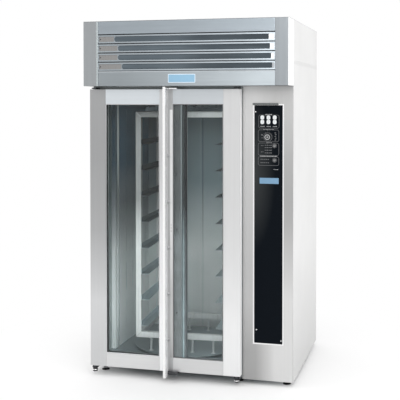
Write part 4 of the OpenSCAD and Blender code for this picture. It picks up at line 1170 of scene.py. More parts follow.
@dataclass
class LatchStile:
    """What shows behind the right pane's left edge: a lock channel, its bright edge and a seal."""

    frame: Box
    first_joint: float = 0.249
    joint_step: float = 0.2815
    channel_in: float = 0.032
    edge_in: float = 0.024
    seal_in: float = 0.008
    keep_heights: ClassVar[tuple[float, ...]] = (0.42, 0.93, 1.27, 1.59)
    screw_heights: ClassVar[tuple[float, ...]] = (0.923, 0.942, 0.960)

    def build(self) -> None:
        """Builds the channel with its keeps, the turned edge and the seal."""
        box = Box.of("latch_stile")
        x0, x1 = box.x
        front, back = box.y
        channel = bar("latch_channel", Box((x0, x1 - self.channel_in), (front + 0.003, back), box.z),
                      0.0015)
        rollers = []
        for i, z in enumerate(self.keep_heights):
            mouth = Box((x0 + 0.022, x0 + 0.034), (front - 0.01, front + 0.008), (z - 0.024, z + 0.024))
            channel.cut(Work.block("slot", mouth).round_corners(1, 0.004, 4))
            shape = [(0, -0.001), (0.0045, -0.001), (0.0045, 0.004), (0.003, 0.005), (0, 0.005)]
            foot = Vector((x0 + 0.028, front + 0.009, z))
            roller = Work.turned(f"latch_roller_{i + 1}", foot, Axis.FRONT, shape, 16)
            rollers.append(roller)
        channel.settle(Body.RIGHT_DOOR, HOUSING_GREY, ["latch_stile"])
        Work.gather("latch_rollers", rollers).settle(Body.RIGHT_DOOR, DARK_METAL)
        fold = Box((x1 - self.channel_in, x1 - self.edge_in), (front, back), box.z)
        edge = bar("latch_turned_edge", fold, 0.0022)
        edge.settle(Body.RIGHT_DOOR, TURNED_EDGE_STEEL)
        lip = Box((x1 - self.edge_in, x1 - self.seal_in), (front + 0.006, back), box.z)
        seal = bar("latch_seal", lip, 0.004)
        seal.settle(Body.RIGHT_DOOR, SEAL_RUBBER)
        self.cover_strip()

    def cover_strip(self) -> None:
        """Polished cover strip down the meeting stile, in six lengths with a screw at each joint."""
        trim = Box.of("right_glass_trim")
        x = (trim.x[0], trim.x[0] + 0.0185)
        y = (self.frame.y[0] - 0.0015, self.frame.y[0])
        low, high = self.frame.z[0] + 0.086, self.frame.z[1] - 0.125
        joints = [low, *(self.first_joint + self.joint_step * i for i in range(5)), high]
        for i, z in enumerate(zip(joints, joints[1:])):
            length = Box(x, y, (z[0] + 0.001, z[1]))
            strip = rounded_plate(f"cover_strip_{i + 1}", length, 0.0015, 0.0006)
            strip.settle(Body.RIGHT_DOOR, STRIP_STEEL)
        spots = [Vector((sum(x) / 2, y[0] + 0.0005, z)) for z in self.screw_heights]
        screws = [Work.rod("screw", spot, Axis.FRONT, 0.0009, 0.0022, 16) for spot in spots]
        Work.gather("cover_strip_screws", screws).settle(Body.RIGHT_DOOR, DARK_METAL)


@dataclass
class Pull:
    """Full-height pull: a grooved bar, its two end plates and five pillars."""

    frame: Box
    bar_w: float = 0.017
    bar_d: float = 0.04
    plate_w: float = 0.076
    pillars: int = 5
    first: float = 0.255
    step: float = 0.282

    def build(self) -> None:
        """Builds the bar, the plates and the pillars."""
        box = Box.of("door_handle")
        x = (box.x[0], box.x[0] + self.bar_w)
        grip = (box.y[0], box.y[0] + self.bar_d)
        body = bar("pull_bar", Box(x, grip, box.z), 0.0022)
        groove = Box((x[0] - 0.01, x[0] + 0.004), (grip[0] + 0.012, grip[0] + 0.026),
                     (box.z[0] + 0.006, box.z[1] - 0.006))
        body.cut(Work.block("groove", groove).ease(0.002))
        body.settle(Body.RIGHT_DOOR, BAR_STEEL, ["door_handle"])
        # Thin sheet on the bar's side that carries its painted shade.
        side = Box((x[1] - 0.0004, x[1] + 0.0006), (grip[0] + 0.0045, grip[1] - 0.001),
                   (box.z[0] + 0.002, box.z[1] - 0.002))
        bar("pull_bar_side_shade", side, 0.0003).settle(Body.RIGHT_DOOR, BAR_SIDE_SHADE_STEEL)
        back = self.frame.y[1] - 0.002
        plate_x = (x[0], x[0] + self.plate_w)
        # Painted light and shade: the upper plate is bright steel where lit and the lower plate dark
        # metal where its underside is shaded.
        for name, z in (("upper", (self.frame.z[1], self.frame.z[1] + 0.007)),
                        ("lower", (self.frame.z[0] - 0.006, self.frame.z[0]))):
            plate = Work.block(f"pull_{name}_plate", Box(plate_x, (grip[1], back), z))
            plate.round_corners(2, 0.006).ease(0.001)
            plate.settle(Body.RIGHT_DOOR, BRIGHT_STEEL if name == "upper" else DARK_METAL)
        reach = self.frame.y[0] - grip[1]
        profile = [(0, 0), (0.0095, 0), (0.0095, 0.002), (0.006, 0.005), (0.006, reach - 0.006),
                   (0.011, reach - 0.003), (0.011, reach), (0, reach)]
        for i in range(self.pillars):
            foot = Vector((sum(x) / 2, grip[1], self.first + self.step * i))
            Work.turned(f"pull_pillar_{i + 1}", foot, Axis.REAR, profile,
                        28).settle(Body.RIGHT_DOOR, PILLAR_STEEL)


@dataclass
class Pivots:
    """Arms that carry the leaves, with a cup under each lower pin."""

    leaf: Box
    reach: float = 0.018

    def build(self) -> None:
        """Builds the four arms with their bolts, and the two cups with a bright ring on each."""
        brackets = Box.of("door_hinge_brackets")
        y = self.leaf.y[0] + PIN_IN
        low, high = self.leaf.z
        for side, x in (("left", brackets.x[0] + self.reach), ("right", brackets.x[1] - self.reach)):
            for level, z in (("lower", (low - 0.014, low - 0.006)),
                             ("upper", (high + 0.003, high + 0.011))):
                self.arm(f"{side}_{level}_arm", x, y, z)
            self.cup(side, Vector((x, y, low - 0.014)), brackets.z[0])

    def arm(self, name: str, x: float, y: float, z: Span) -> None:
        """Flat arm with a round end, a bore for the pin and two bolts."""
        arm = Work.block(name, Box((x - self.reach, x + self.reach), (y - self.reach, FACE), z))
        with arm.edit("EDGE") as mesh:
            for edge in mesh.edges:
                upright = abs(edge.verts[0].co.z - edge.verts[1].co.z) > 0.004
                edge.select_set(upright and edge.verts[0].co.y < y)
            bmesh.update_edit_mesh(arm.obj.data)
            bpy.ops.mesh.bevel(offset=self.reach - 0.0005, segments=10, affect="EDGES")
        bore = Work.rod("bore", Vector((x, y, z[0] - 0.01)), Axis.UP, 0.03, PIN_R + 0.00005)
        arm.cut(bore).ease(0.0008)
        bolts = [self.bolt(Vector((x + shift, FACE - 0.016, z[1]))) for shift in (-0.009, 0.009)]
        arm.join(*bolts)
        arm.settle(Body.CABINET, DARK_METAL, ["door_hinge_brackets"])

    @staticmethod
    def bolt(foot: Vector) -> Work:
        """Low hexagon head."""
        return Work.rod("bolt", foot, Axis.UP, 0.0018, 0.0055, 6, 0.005)

    def cup(self, side: str, top: Vector, foot_z: float) -> None:
        """Cup that takes the pin's end, with a rolled rim and a bright ring round it."""
        depth = top.z - foot_z
        shape = [(0.0081, 0), (0.0135, 0), (0.015, -0.002), (0.015, -depth + 0.002), (0.013, -depth),
                 (0, -depth), (0, -depth + 0.004), (0.0081, -depth + 0.004), (0.0081, 0)]
        Work.turned(f"{side}_pivot_cup", top, Axis.UP, shape).settle(Body.CABINET, FOOT_PLASTIC)
        ring = [(0.015, -0.010), (0.0172, -0.011), (0.0178, -0.0125), (0.0172, -0.014), (0.015, -0.015),
                (0.015, -0.010)]
        Work.turned(f"{side}_cup_ring", top, Axis.UP, ring).settle(Body.CABINET, BRIGHT_STEEL)


# ---------------------------------------------------------------- control column


@dataclass
class ControlColumn:
    """Sheet beside the doors with the black fascia, its displays, marks, knob and keys."""

    mark_h: float = 0.0005
    line_w: float = 0.0022
    bezel_w: float = 0.0055
    plate_x: Span = (1.065, 1.181)
    plate_z: Span = (1.220, 1.255)
    digit_half: float = 0.0112
    knob_at: ClassVar[Span] = (1.1145, 1.500)
    start_at: ClassVar[Span] = (1.156, 1.448)
    stop_at: ClassVar[Span] = (1.156, 1.362)
    screws_at: ClassVar[tuple[Span, ...]] = ((1.040, 1.651), (1.046, 0.337), (1.197, 0.278))
    titles: ClassVar[tuple[tuple[str, float, float, float, int, float], ...]] = (
        ("display_title", 1.098, 1.140, 1.6355, 6, 0.0045),
        ("display_label_1", 1.069, 1.095, 1.563, 4, 0.0045),
        ("display_label_2", 1.106, 1.132, 1.563, 4, 0.0045),
        ("display_label_3", 1.144, 1.170, 1.563, 4, 0.0045),
        ("program_title", 1.086, 1.154, 1.544, 9, 0.005),
        ("timer_title", 1.104, 1.140, 1.465, 5, 0.005),
        ("rack_title", 1.068, 1.172, 1.385, 13, 0.005),
        ("foot_label", 1.148, 1.178, 1.306, 4, 0.0035),
    )
    groups: ClassVar[tuple[tuple[str, float, float, float, float], ...]] = (
        ("display", 1.058, 1.184, 1.552, 1.633), ("program", 1.055, 1.1825, 1.472, 1.544),
        ("timer", 1.055, 1.1825, 1.389, 1.465), ("rack", 1.055, 1.1825, 1.329, 1.383),
    )
    ticks: int = 13
    tick_step: float = math.radians(25)
    first_tick: float = math.radians(-60)
    tick_r: float = 0.0305
    digits_at: ClassVar[tuple[float, ...]] = (1.081, 1.1185, 1.1565)

    def __post_init__(self) -> None:
        """Reads the fascia's outline."""
        self.fascia = Box.of("control_fascia")
        self.front = self.fascia.y[0]

    def build(self) -> None:
        """Builds every piece of the column."""
        self.sheet()
        self.panel()
        self.displays()
        self.outlines()
        self.marks()
        self.knob()
        self.keys()

    def sheet(self) -> None:
        """Front sheet with a rounded outer edge and an opening for the fascia."""
        box = Box.of("column_front")
        hole = self.fascia.grown(0.0005, 0.02, 0.0005)
        sheet = Work.block("column_sheet",
                           Box(box.x, (box.y[0], box.y[0] + 0.025), box.z)).ease(0.0025, 3)
        sheet.inset(is_back, 0.002, -0.021)
        sheet.cut(Work.block("hole", hole)).settle(Body.CABINET, COLUMN_STEEL, ["column_front"])
        fold = Box((box.x[0], box.x[0] + 0.002), (box.y[0] + 0.024, box.y[1]), box.z)
        bar("column_inner_fold", fold, 0.0004).settle(Body.CABINET, COLUMN_STEEL)

    def panel(self) -> None:
        """Gloss fascia in its bezel, the light bar over it and three screws."""
        panel = rounded_plate("fascia_panel", self.fascia, 0.002, 0.0008)
        for x, z in (self.start_at, self.stop_at):
            panel.cut(Work.rod("hole", place(x, -0.01, z), Axis.REAR, 0.02, 0.0103, 40))
        panel.settle(Body.CABINET, FASCIA_BLACK, ["control_fascia"])
        trim = Box.of("fascia_trim")
        rim = self.fascia.grown(self.bezel_w, 0, self.bezel_w)
        bezel = Box(rim.x, (self.front - 0.003, self.front), rim.z)
        upright_ring("fascia_bezel", bezel, 0.008,
                     0.001).settle(Body.CABINET, BRIGHT_STEEL, ["fascia_trim"])
        light = Box((trim.x[0], self.fascia.x[1] - 0.0275), (trim.y[0], self.front - 0.003),
                    (trim.z[1] - 0.013, trim.z[1]))
        bar("fascia_light_bar", light, 0.003).settle(Body.CABINET, LIGHT_BAR_STEEL)
        for i, (x, z) in enumerate(self.screws_at):
            spot = place(x, self.front - FACE, z)
            screw = pan_screw(f"fascia_screw_{i + 1}", spot, Axis.FRONT, 0.0042)
            screw.settle(Body.CABINET, BRIGHT_STEEL)
        plate = Box(across(*self.plate_x), (self.front - 0.001, self.front), self.plate_z)
        rounded_plate("fascia_plate", plate, 0.002,
                      0.0003).settle(Body.CABINET, DIM_BLUE_ENAMEL, ["blank_plates"])

    def displays(self) -> None:
        """Three windows, each a pair of rounded pale places one over the other."""
        low, high = Box.of("display_windows").z
        middle = (low + high) / 2
        for i, x in enumerate(self.digits_at):
            lobes = []
            for z in ((low, middle - 0.0006), (middle + 0.0006, high)):
                box = Box(across(x - self.digit_half, x + self.digit_half),
                          (self.front - 0.0012, self.front), z)
                lobes.append(rounded_plate(f"display_{i + 1}", box, 0.009, 0.0004))
            lobes[0].join(lobes[1]).settle(Body.CABINET, DIGIT_WHITE, ["display_windows"])
            tick = Box(across(x - 0.0008, x + 0.0008), (self.front - 0.0014, self.front - 0.0011),
                       (low + 0.006, high - 0.006))
            rounded_plate(f"display_tick_{i + 1}", tick, 0.0006,
                          0.0001).settle(Body.CABINET, PRINT_PALE)

    def outlines(self) -> None:
        """Printed line frames with rounded corners round each group of controls."""
        for name, x0, x1, z0, z1 in self.groups:
            box = Box(across(x0, x1), (self.front - self.mark_h, self.front), (z0, z1))
            rounded_ring(f"{name}_outline", box, 0.012, self.line_w).settle(Body.CABINET, PRINT_GREY)

    def mark(self, x: float, z: float, w: float, h: float) -> Work:
        """One small printed mark."""
        box = Box(across(x - w / 2, x + w / 2), (self.front - self.mark_h, self.front),
                  (z - h / 2, z + h / 2))
        return Work.block("mark", box).round_corners(1, min(w, h) * 0.3, 2)

    def dashes(self, name: str, x0: float, x1: float, z: float, count: int, h: float) -> None:
        """Row of plain dashes of changing length, which stands where a title would."""
        step = (x1 - x0) / count
        marks = [self.mark(x0 + step * (i + 0.5), z, step * (0.5 + 0.25 * (i % 2)),
                           h) for i in range(count)]
        Work.gather(name, marks).settle(Body.CABINET, PRINT_PALE)

    def marks(self) -> None:
        """Dashes and plain symbols of the four groups."""
        for title in self.titles:
            self.dashes(*title)
        self.scale_ring()
        symbols = {
            "program_symbols": [(1.079, 1.513, 0.010, 0.008), (1.079, 1.495, 0.006, 0.004)],
            "program_dots": [(1.160 + 0.003 * (i % 2), 1.525 - 0.0105 * i, 0.009,
                              0.0055) for i in range(5)],
            "timer_symbols": [(1.076 + 0.009 * i, z, 0.006,
                               0.0045) for i in range(2) for z in (1.449, 1.411)],
            "timer_rows": [(1.100 + 0.0115 * i, z, 0.008, 0.0045 + 0.002 * (i % 2)) for i in range(4)
                           for z in (1.451, 1.437, 1.421, 1.405)],
            "rack_symbols": [(1.074 + 0.011 * i, z, 0.0075,
                              0.005) for i in range(5) for z in (1.366, 1.346)],
        }
        for name, cells in symbols.items():
            marks = [self.mark(*cell) for cell in cells]
            Work.gather(name, marks).settle(Body.CABINET, PRINT_GREY)

    def scale_ring(self) -> None:
        """Ring of graduation marks round the knob, with an arc over it."""
        middle = place(self.knob_at[0], self.front - FACE, self.knob_at[1])
        ring = Work.turned("knob_scale", middle, Axis.FRONT,
                           [(0.0235, 0), (0.0235, 0.0005), (0.0265, 0.0005), (0.0265, 0)], 56)
        ticks = []
        for i in range(self.ticks):
            angle = self.first_tick + self.tick_step * i
            spot = middle + Vector((math.cos(angle), 0, math.sin(angle))) * self.tick_r
            tick = self.mark(0, 0, 0.0016, 0.0055)
            tick.obj.matrix_world = (
                Matrix.Translation(spot) @ Matrix.Rotation(math.pi / 2 - angle, 4, "Y")
                @ Matrix.Translation(-place(0, self.front - FACE, 0)))
            ticks.append(tick.fixed())
        ring.join(*ticks)
        ring.settle(Body.CABINET, PRINT_GREY)

    def knob(self) -> None:
        """Knob with a fluted skirt, a dished face, a pale rim, a hub and a pointer."""
        middle = place(self.knob_at[0], -0.0003, self.knob_at[1])
        profile = [(0, -0.018), (0.003, -0.018), (0.003, 0), (0.0195, 0), (0.02, 0.001), (0.019, 0.006),
                   (0.0175, 0.0165), (0.0165, 0.018), (0.0125, 0.018), (0.008, 0.0168), (0, 0.0165)]
        knob = Work.turned("program_knob_skirt", middle, Axis.FRONT, profile, 60)
        with knob.edit("VERT") as mesh:
            for vertex in mesh.verts:
                away = Vector((vertex.co.x - middle.x, 0, vertex.co.z - middle.z))
                if away.length > 0.0155 and vertex.co.y < middle.y - 0.003:
                    step = round(math.atan2(away.z, away.x) / math.tau * 60)
                    vertex.co -= away.normalized() * (0.0009 if step % 3 == 0 else 0.0)
            bmesh.update_edit_mesh(knob.obj.data)
        knob.settle(Body.KNOB, KNOB_PLASTIC, ["program_knob"], 50)
        pointer = Box((middle.x - 0.0008, middle.x + 0.0008), (middle.y - 0.0184, middle.y - 0.0176),
                      (middle.z + 0.006, middle.z + 0.0155))
        rounded_plate("knob_pointer", pointer, 0.0007, 0.0001).settle(Body.KNOB, PRINT_PALE)
        rim = [(0.0125, 0.0179), (0.0125, 0.0184), (0.016, 0.0184), (0.016, 0.0179)]
        Work.turned("knob_rim", middle, Axis.FRONT, rim, 60).settle(Body.KNOB, PRINT_PALE)
        hub = [(0, 0.0163), (0.0035, 0.0163), (0.0035, 0.0172), (0, 0.0174)]
        Work.turned("knob_hub", middle, Axis.FRONT, hub, 24).settle(Body.KNOB, PRINT_PALE)

    def keys(self) -> None:
        """Round keys, each with a dished cap, and a printed ring about it."""
        for name, body, (x, z) in (("start", Body.START, self.start_at),
                                   ("stop", Body.STOP, self.stop_at)):
            foot = place(x, 0, z)
            profile = [(0, -0.018), (0.003, -0.018), (0.003, -0.0063), (0.0125, -0.0063),
                       (0.0125, -0.0043),
                       (0.01, -0.0043), (0.01, 0.005), (0.0085, 0.0065), (0.0068, 0.0065),
                       (0.004, 0.0056),
                       (0, 0.0052)]
            cap = Work.turned(f"{name}_key_cap", foot, Axis.FRONT, profile, 40)
            cap.settle(body, KEY_STEEL, [f"{name}_button"])
            ring = [(0.0125, 0), (0.0125, 0.0006), (0.0142, 0.0006), (0.0142, 0)]
            Work.turned(f"{name}_key_ring", foot, Axis.FRONT, ring, 40).settle(Body.CABINET, PRINT_GREY)


# ---------------------------------------------------------------- cabinet


@dataclass
class Cabinet:
    """Feet, panel screws, roof fittings, and the fold and seam of the chamber's liner."""

    bolt_circle: float = 0.073
    screw_in: float = 0.045
    screw_rise: float = 0.25
    screw_step: float = 0.236

    def build(self) -> None:
        """Builds what the CAD shell doesn't have."""
        self.feet()
        self.baffle_edge()
        self.rear_screws()
        self.flue_bolts()

    def feet(self) -> None:
        """Levelling feet: a rubber pad, a domed cover, a threaded stem and two nuts."""
        box = Box.of("levelling_feet")
        top = box.z[1]
        xs = (box.x[0] + 0.024, place(0.929, 0, 0).x, box.x[1] - 0.024)
        ys = (box.y[0] + 0.024, box.y[1] - 0.024)
        pad = [(0, 0), (0.0215, 0), (0.024, 0.0012), (0.024, 0.0045), (0.0215, 0.0065), (0.012, 0.009),
               (0.009, 0.011), (0, 0.011)]
        thread = [(0, 0.009)]
        for i in range(12):
            height = 0.0105 + 0.0028 * i
            thread += [(0.0072, height), (0.008, height + 0.0014)]
        thread += [(0.0072, top), (0, top)]
        for i, (x, y) in enumerate((x, y) for x in xs for y in ys):
            foot = Vector((x, y, 0))
            Work.turned(f"foot_pad_{i + 1}", foot, Axis.UP,
                        pad).settle(Body.CABINET, FOOT_PLASTIC, ["levelling_feet"])
            stem = Work.turned(f"foot_stem_{i + 1}", foot, Axis.UP, thread, 20)
            nuts = [Work.rod("nut", Vector((x, y, z)), Axis.UP, h, 0.0138, 6).ease(0.0006, 1)
                    for z, h in ((0.0125, 0.006), (top - 0.010, 0.010))]
            stem.join(*nuts).settle(Body.CABINET, MACHINE_STEEL)

    def baffle_edge(self) -> None:
        """Bright rib near the front edge of the left air baffle, its tone rising and falling with
        height as painted light and shade, and the seam up the rear wall with a painted lit side and a
        painted shaded side.
        """
        baffle = Box.of("left_air_baffle")
        fold = Box((baffle.x[1], baffle.x[1] + 0.012), deep(0.231, 0.236),
                   (baffle.z[0] + 0.003, baffle.z[1] - 0.003))
        bar("left_baffle_rib", fold, 0.001).settle(Body.CABINET, BAFFLE_EDGE_STEEL)
        wall = Box.of("rear_wall")
        for name, x, finish in (("light", across(0.459, 0.464), SEAM_LIT),
                                ("dark", across(0.474, 0.482), SEAM_SHADED)):
            seam = Box(x, (wall.y[0] - 0.0008, wall.y[0]), (wall.z[0] + 0.01, wall.z[1] - 0.01))
            bar(f"rear_seam_{name}", seam, 0.0002).settle(Body.CABINET, finish)

    def rear_screws(self) -> None:
        """Rows of screws along the edges of the rear panel."""
        panel = Box.of("rear_panel")
        left, right = panel.x[0] + self.screw_in, panel.x[1] - self.screw_in
        first = pan_screw("rear_screws", Vector((left, panel.y[1], 0.12)), Axis.REAR, 0.0055)
        moves = [(x, 0, self.screw_rise * i) for i in range(9) for x in (0, right - left)]
        moves += [(self.screw_step * i, 0, z) for i in range(1, 5) for z in (0, self.screw_rise * 8)]
        first.join(*[first.copy("screw", move) for move in moves[1:]])
        first.settle(Body.CABINET, MACHINE_STEEL)

    def flue_bolts(self) -> None:
        """Bolts in the flue's flange and a swaged bead round its mouth."""
        flue = Box.of("flue_spigot")
        top = Box.of("roof_panel").z[1] + 0.003
        middle = Vector((sum(flue.x) / 2, sum(flue.y) / 2, top))
        shape = [(0, -0.002), (0.0062, -0.002), (0.0062, 0.0008), (0.0048, 0.0036), (0, 0.0042)]
        bolts = []
        for i in range(4):
            angle = math.radians(45 + 90 * i)
            reach = Vector((math.cos(angle), math.sin(angle), 0)) * self.bolt_circle
            bolts.append(Work.turned("bolt", middle + reach, Axis.UP, shape, 6))
        Work.gather("flue_bolts", bolts).settle(Body.CABINET, MACHINE_STEEL)


# ---------------------------------------------------------------- rack


@dataclass
class Rack:
    """Tray rack: two end frames, side rails, weld beads and eight pairs of runners."""

    half_w: float = 0.3
    half_d: float = 0.288
    tube: float = 0.036
    low: float = 0.2
    high: float = 1.648
    levels: int = 8
    first_level: float = 0.275
    level_pitch: float = 0.1665
    runner_out: float = 0.046
    disc_r: float = 0.375
    disc_z: float = 0.112

    def __post_init__(self) -> None:
        """Finds the axis that the rack turns about."""
        spindle = Box.of("rack_spindle")
        self.axis = Vector((sum(spindle.x) / 2, sum(spindle.y) / 2, 0))

    def at(self, x: Span, y: Span, z: Span) -> Box:
        """Box given from the rack's axis."""
        return Box((self.axis.x + x[0], self.axis.x + x[1]), (self.axis.y + y[0], self.axis.y + y[1]),
                   z)

    def finish(self, work: Work, finish: Finish, stands_for: Sequence[str] = ()) -> None:
        """Turns a piece that was made square to the rack's angle, and settles it."""
        work.turn(self.axis, RACK_TURN).settle(Body.RACK, finish, stands_for)

    def build(self) -> None:
        """Builds every piece of the rack."""
        self.frames()
        self.side_rails()
        self.runners()
        self.turntable()

    def frames(self) -> None:
        """End frames of square tube with rounded corners and a weld bead on each mitre."""
        for name, y in (("front", (-self.half_d, -self.half_d + self.tube)),
                        ("rear", (self.half_d - self.tube, self.half_d))):
            outer = self.at((-self.half_w, self.half_w), y, (self.low, self.high))
            hole = outer.grown(-self.tube, 0.01, -self.tube)
            ring = Work.block(f"rack_{name}_frame", outer).cut(Work.block("hole", hole)).ease(0.003, 3)
            self.finish(ring, RACK_STEEL, ["rack_frame"])
            face = outer.y[0] if name == "front" else outer.y[1]
            self.finish(self.welds(name, outer, face), PLATE_STEEL)

    def welds(self, name: str, outer: Box, face: float) -> Work:
        """Diagonal weld beads on the four mitres of an end frame."""
        length = self.tube * math.sqrt(2) * 0.86
        beads = []
        for sx, x in ((1, outer.x[0]), (-1, outer.x[1])):
            for sz, z in ((1, outer.z[0]), (-1, outer.z[1])):
                middle = Vector((x + sx * self.tube / 2, face, z + sz * self.tube / 2))
                bead = Work.rod(f"rack_{name}_welds", Vector((0, 0, -length / 2)), Axis.UP, length,
                                0.0016, 10)
                bead.obj.matrix_world = Matrix.Translation(middle) @ Matrix.Rotation(
                    math.radians(45) * sx * sz, 4, "Y") @ Matrix.Diagonal((1, 0.45, 1, 1))
                beads.append(bead.fixed())
        return Work.gather(f"rack_{name}_welds", beads)

    def side_rails(self) -> None:
        """Side rails between the end frames, over and under."""
        inner = (-self.half_d + self.tube, self.half_d - self.tube)
        rails = []
        for x in ((-self.half_w, -self.half_w + self.tube), (self.half_w - self.tube, self.half_w)):
            for z in ((self.low, self.low + self.tube), (self.high - self.tube, self.high)):
                rails.append(Work.block("rack_side_rails", self.at(x, inner, z)).ease(0.003, 3))
        self.finish(Work.gather("rack_side_rails", rails), RACK_STEEL)

    def runners(self) -> None:
        """Angle runners: a leg on the uprights, a flange for the tray and a stop at the rear."""
        inner = self.half_w - self.tube
        leg, out, thick = 0.03, self.runner_out, 0.003
        span = (-self.half_d, self.half_d)
        for side, sign in (("left", -1), ("right", 1)):
            wall = sorted((sign * inner, sign * (inner - thick)))
            shelf = sorted((sign * inner, sign * (inner - out)))
            stop = sorted((sign * (inner - out), sign * (inner - out + 0.02)))
            z = self.first_level
            first = Work.block(f"{side}_runner_1",
                               self.at(tuple(wall), span, (z + thick, z + leg))).ease(0.0009)
            first.join(Work.block("shelf", self.at(tuple(shelf), span, (z, z + thick))).ease(0.0009),
                       Work.block("stop", self.at(tuple(stop), (self.half_d - thick, self.half_d),
                                                  (z + thick - 0.0005, z + 0.016))).ease(0.0008))
            for i in range(1, self.levels):
                twin = first.copy(f"{side}_runner_{i + 1}", (0, 0, self.level_pitch * i))
                self.finish(twin, RUNNER_STEEL, ["tray_runners"])
            self.finish(first, RUNNER_STEEL, ["tray_runners"])

    def turntable(self) -> None:
        """Disc with a rolled edge on its hub and pin, and the flanged posts under the end frames."""
        z, foot_z = self.disc_z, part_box("turntable")[0].z
        hub_z = Box.of("base_slab").z[1] + 0.0053
        profile = [(0, foot_z), (0.014, foot_z), (0.015, foot_z + 0.001), (0.015, hub_z),
                   (0.052, hub_z), (0.052, z),
                   (self.disc_r - 0.001, z), (self.disc_r, z + 0.001), (self.disc_r, z + 0.003),
                   (self.disc_r - 0.001, z + 0.004), (0, z + 0.004)]
        disc = Work.turned("turntable_disc", self.axis, Axis.UP, profile, 96)
        disc.settle(Body.RACK, FLOOR_LINER, ["turntable"])
        top = self.low - z - 0.004
        shape = [(0, 0), (0.0135, 0), (0.014, 0.0008), (0.014, 0.0032), (0.0132, 0.004), (0.007, 0.004),
                 (0.007, top - 0.009), (0.012, top - 0.0045), (0.0145, top - 0.0038),
                 (0.015, top - 0.003),
                 (0.015, top - 0.001), (0.0142, top), (0, top)]
        middle = Vector((self.axis.x, self.axis.y, z + 0.004))
        first = Work.turned("post", middle, Axis.UP, shape, 24)
        reach = self.half_d - self.tube / 2
        posts = [first.copy("post",
                            (0.135 * i - 0.2025, y, 0)) for i in range(4) for y in (-reach, reach)]
        bpy.data.objects.remove(first.obj)
        self.finish(Work.gather("turntable_posts", posts), POST_STEEL)


# ---------------------------------------------------------------- studio


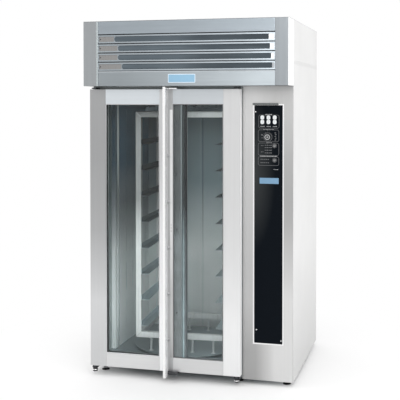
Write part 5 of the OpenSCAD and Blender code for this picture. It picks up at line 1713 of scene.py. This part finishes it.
@dataclass
class Studio:
    """Camera at the photograph's place, soft lamps, pale floor and white surroundings."""

    eye: Vector
    pitch: float = 88.7
    yaw: float = 14.6
    lens: float = 79.67
    sensor: float = 36.0
    shift: tuple[float, float] = (-0.02645, -0.1974)
    floor_size: float = 60.0
    fill: float = 0.82

    def build(self) -> None:
        """Sets up the whole studio."""
        scene = bpy.context.scene
        scene.view_settings.view_transform = "Standard"
        self.camera()
        self.lamps()
        self.floor()
        self.world()

    def camera(self) -> None:
        """Camera fitted to the corners of the body in the photograph."""
        data = bpy.data.cameras.new("photo_camera")
        data.lens, data.sensor_width = self.lens, self.sensor
        data.shift_x, data.shift_y = self.shift
        data.clip_end = 200
        camera = bpy.data.objects.new("photo_camera", data)
        camera.location = self.eye
        camera.rotation_euler = (math.radians(self.pitch), 0, math.radians(self.yaw))
        bpy.context.scene.collection.objects.link(camera)
        bpy.context.scene.camera = camera

    @staticmethod
    def lamp(name: str, spot: Vector, aim: Vector, size: float, power: float) -> None:
        """Square soft lamp that points at a place."""
        data = bpy.data.lights.new(name, "AREA")
        data.shape, data.size, data.energy = "SQUARE", size, power
        lamp = bpy.data.objects.new(name, data)
        lamp.location = spot
        lamp.rotation_euler = (aim - spot).to_track_quat("-Z", "Y").to_euler()
        bpy.context.scene.collection.objects.link(lamp)

    def lamps(self) -> None:
        """Key from the upper right, fill from the left, one over the roof, and a weak one in front."""
        middle = Vector((0, 0, 1.1))
        self.lamp("key_lamp", Vector((5.5, -4.0, 4.5)), middle, 6.0, 120)
        self.lamp("fill_lamp", Vector((-5.5, -2.5, 3.5)), middle, 5.5, 80)
        self.lamp("top_lamp", Vector((0.0, 0.6, 5.6)), middle, 5.0, 75)
        self.lamp("front_lamp", Vector((1.4, -4.6, 3.4)), Vector((0, 0, 0.8)), 2.4, 62)

    def floor(self) -> None:
        """Plain pale floor that keeps the oven's shadow and turns white further off."""
        Work.clear()
        bpy.ops.mesh.primitive_plane_add(size=self.floor_size, location=(0, 0, 0))
        floor = Work.picked("floor").obj
        tree = Tree.paint("floor_paint")
        away = tree.add("ShaderNodeVectorMath", {0: tree.points((1, 1, 0))},
                        operation="LENGTH").outputs["Value"]
        share = tree.remap(away, 0.0, 1.0, 0.5, 1.7)
        path = tree.add("ShaderNodeLightPath")
        seen = tree.sum(path.outputs["Is Camera Ray"], path.outputs["Is Glossy Ray"], "MAXIMUM")
        white = tree.sum(share, seen, "MULTIPLY")
        paint = tree.add("ShaderNodeBsdfDiffuse", {"Color": (0.9, 0.9, 0.9, 1)})
        glow = tree.add("ShaderNodeEmission", {"Color": (1, 1, 1, 1), "Strength": 1.0})
        mixed = tree.add("ShaderNodeMixShader", {0: white, 1: paint.outputs[0], 2: glow.outputs[0]})
        tree.add("ShaderNodeOutputMaterial", {"Surface": mixed.outputs[0]})
        floor.data.materials.append(tree.owner)

    def world(self) -> None:
        """World that looks white to the camera, to gloss and through glass, and fills softly."""
        world = bpy.data.worlds.new("studio_world")
        world.use_nodes = True
        bpy.context.scene.world = world
        tree = Tree(world)
        path = tree.add("ShaderNodeLightPath").outputs
        seen = tree.sum(path["Is Camera Ray"], path["Is Glossy Ray"], "MAXIMUM")
        clear = tree.sum(seen, path["Is Transmission Ray"], "MAXIMUM")
        level = tree.remap(clear, self.fill, 1.0, 0.0, 1.0)
        background = tree.add("ShaderNodeBackground", {"Color": (1, 1, 1, 1), "Strength": level})
        tree.add("ShaderNodeOutputWorld", {"Surface": background.outputs[0]})


def dress_nodes() -> None:
    """Gives every CAD node that stays in view its finish."""
    for name, finish in NODE_FINISHES.items():
        slots = frame["nodes"][name].data.materials
        slots.clear()
        slots.append(finish.material())
        LOG.info("%s keeps its CAD shape, in %s", name, finish.name)


def main() -> None:
    """Builds the studio, dresses the CAD nodes and builds each sub-assembly."""
    logging.basicConfig(level=logging.INFO, format="%(message)s")
    Studio(eye=Vector((1.48203, -5.6246, 1.71597))).build()
    dress_nodes()
    left = Leaf("left", Body.LEFT_DOOR, pivot_on_left=True)
    right = Leaf("right", Body.RIGHT_DOOR, pivot_on_left=False)
    parts = (Hood(Box.of("hood_shell")), left, right, LatchStile(right.frame), Pull(right.frame),
             Pivots(left.frame), ControlColumn(), Cabinet(), Rack())
    for part in parts:
        part.build()


if __name__ == "__main__":
    main()
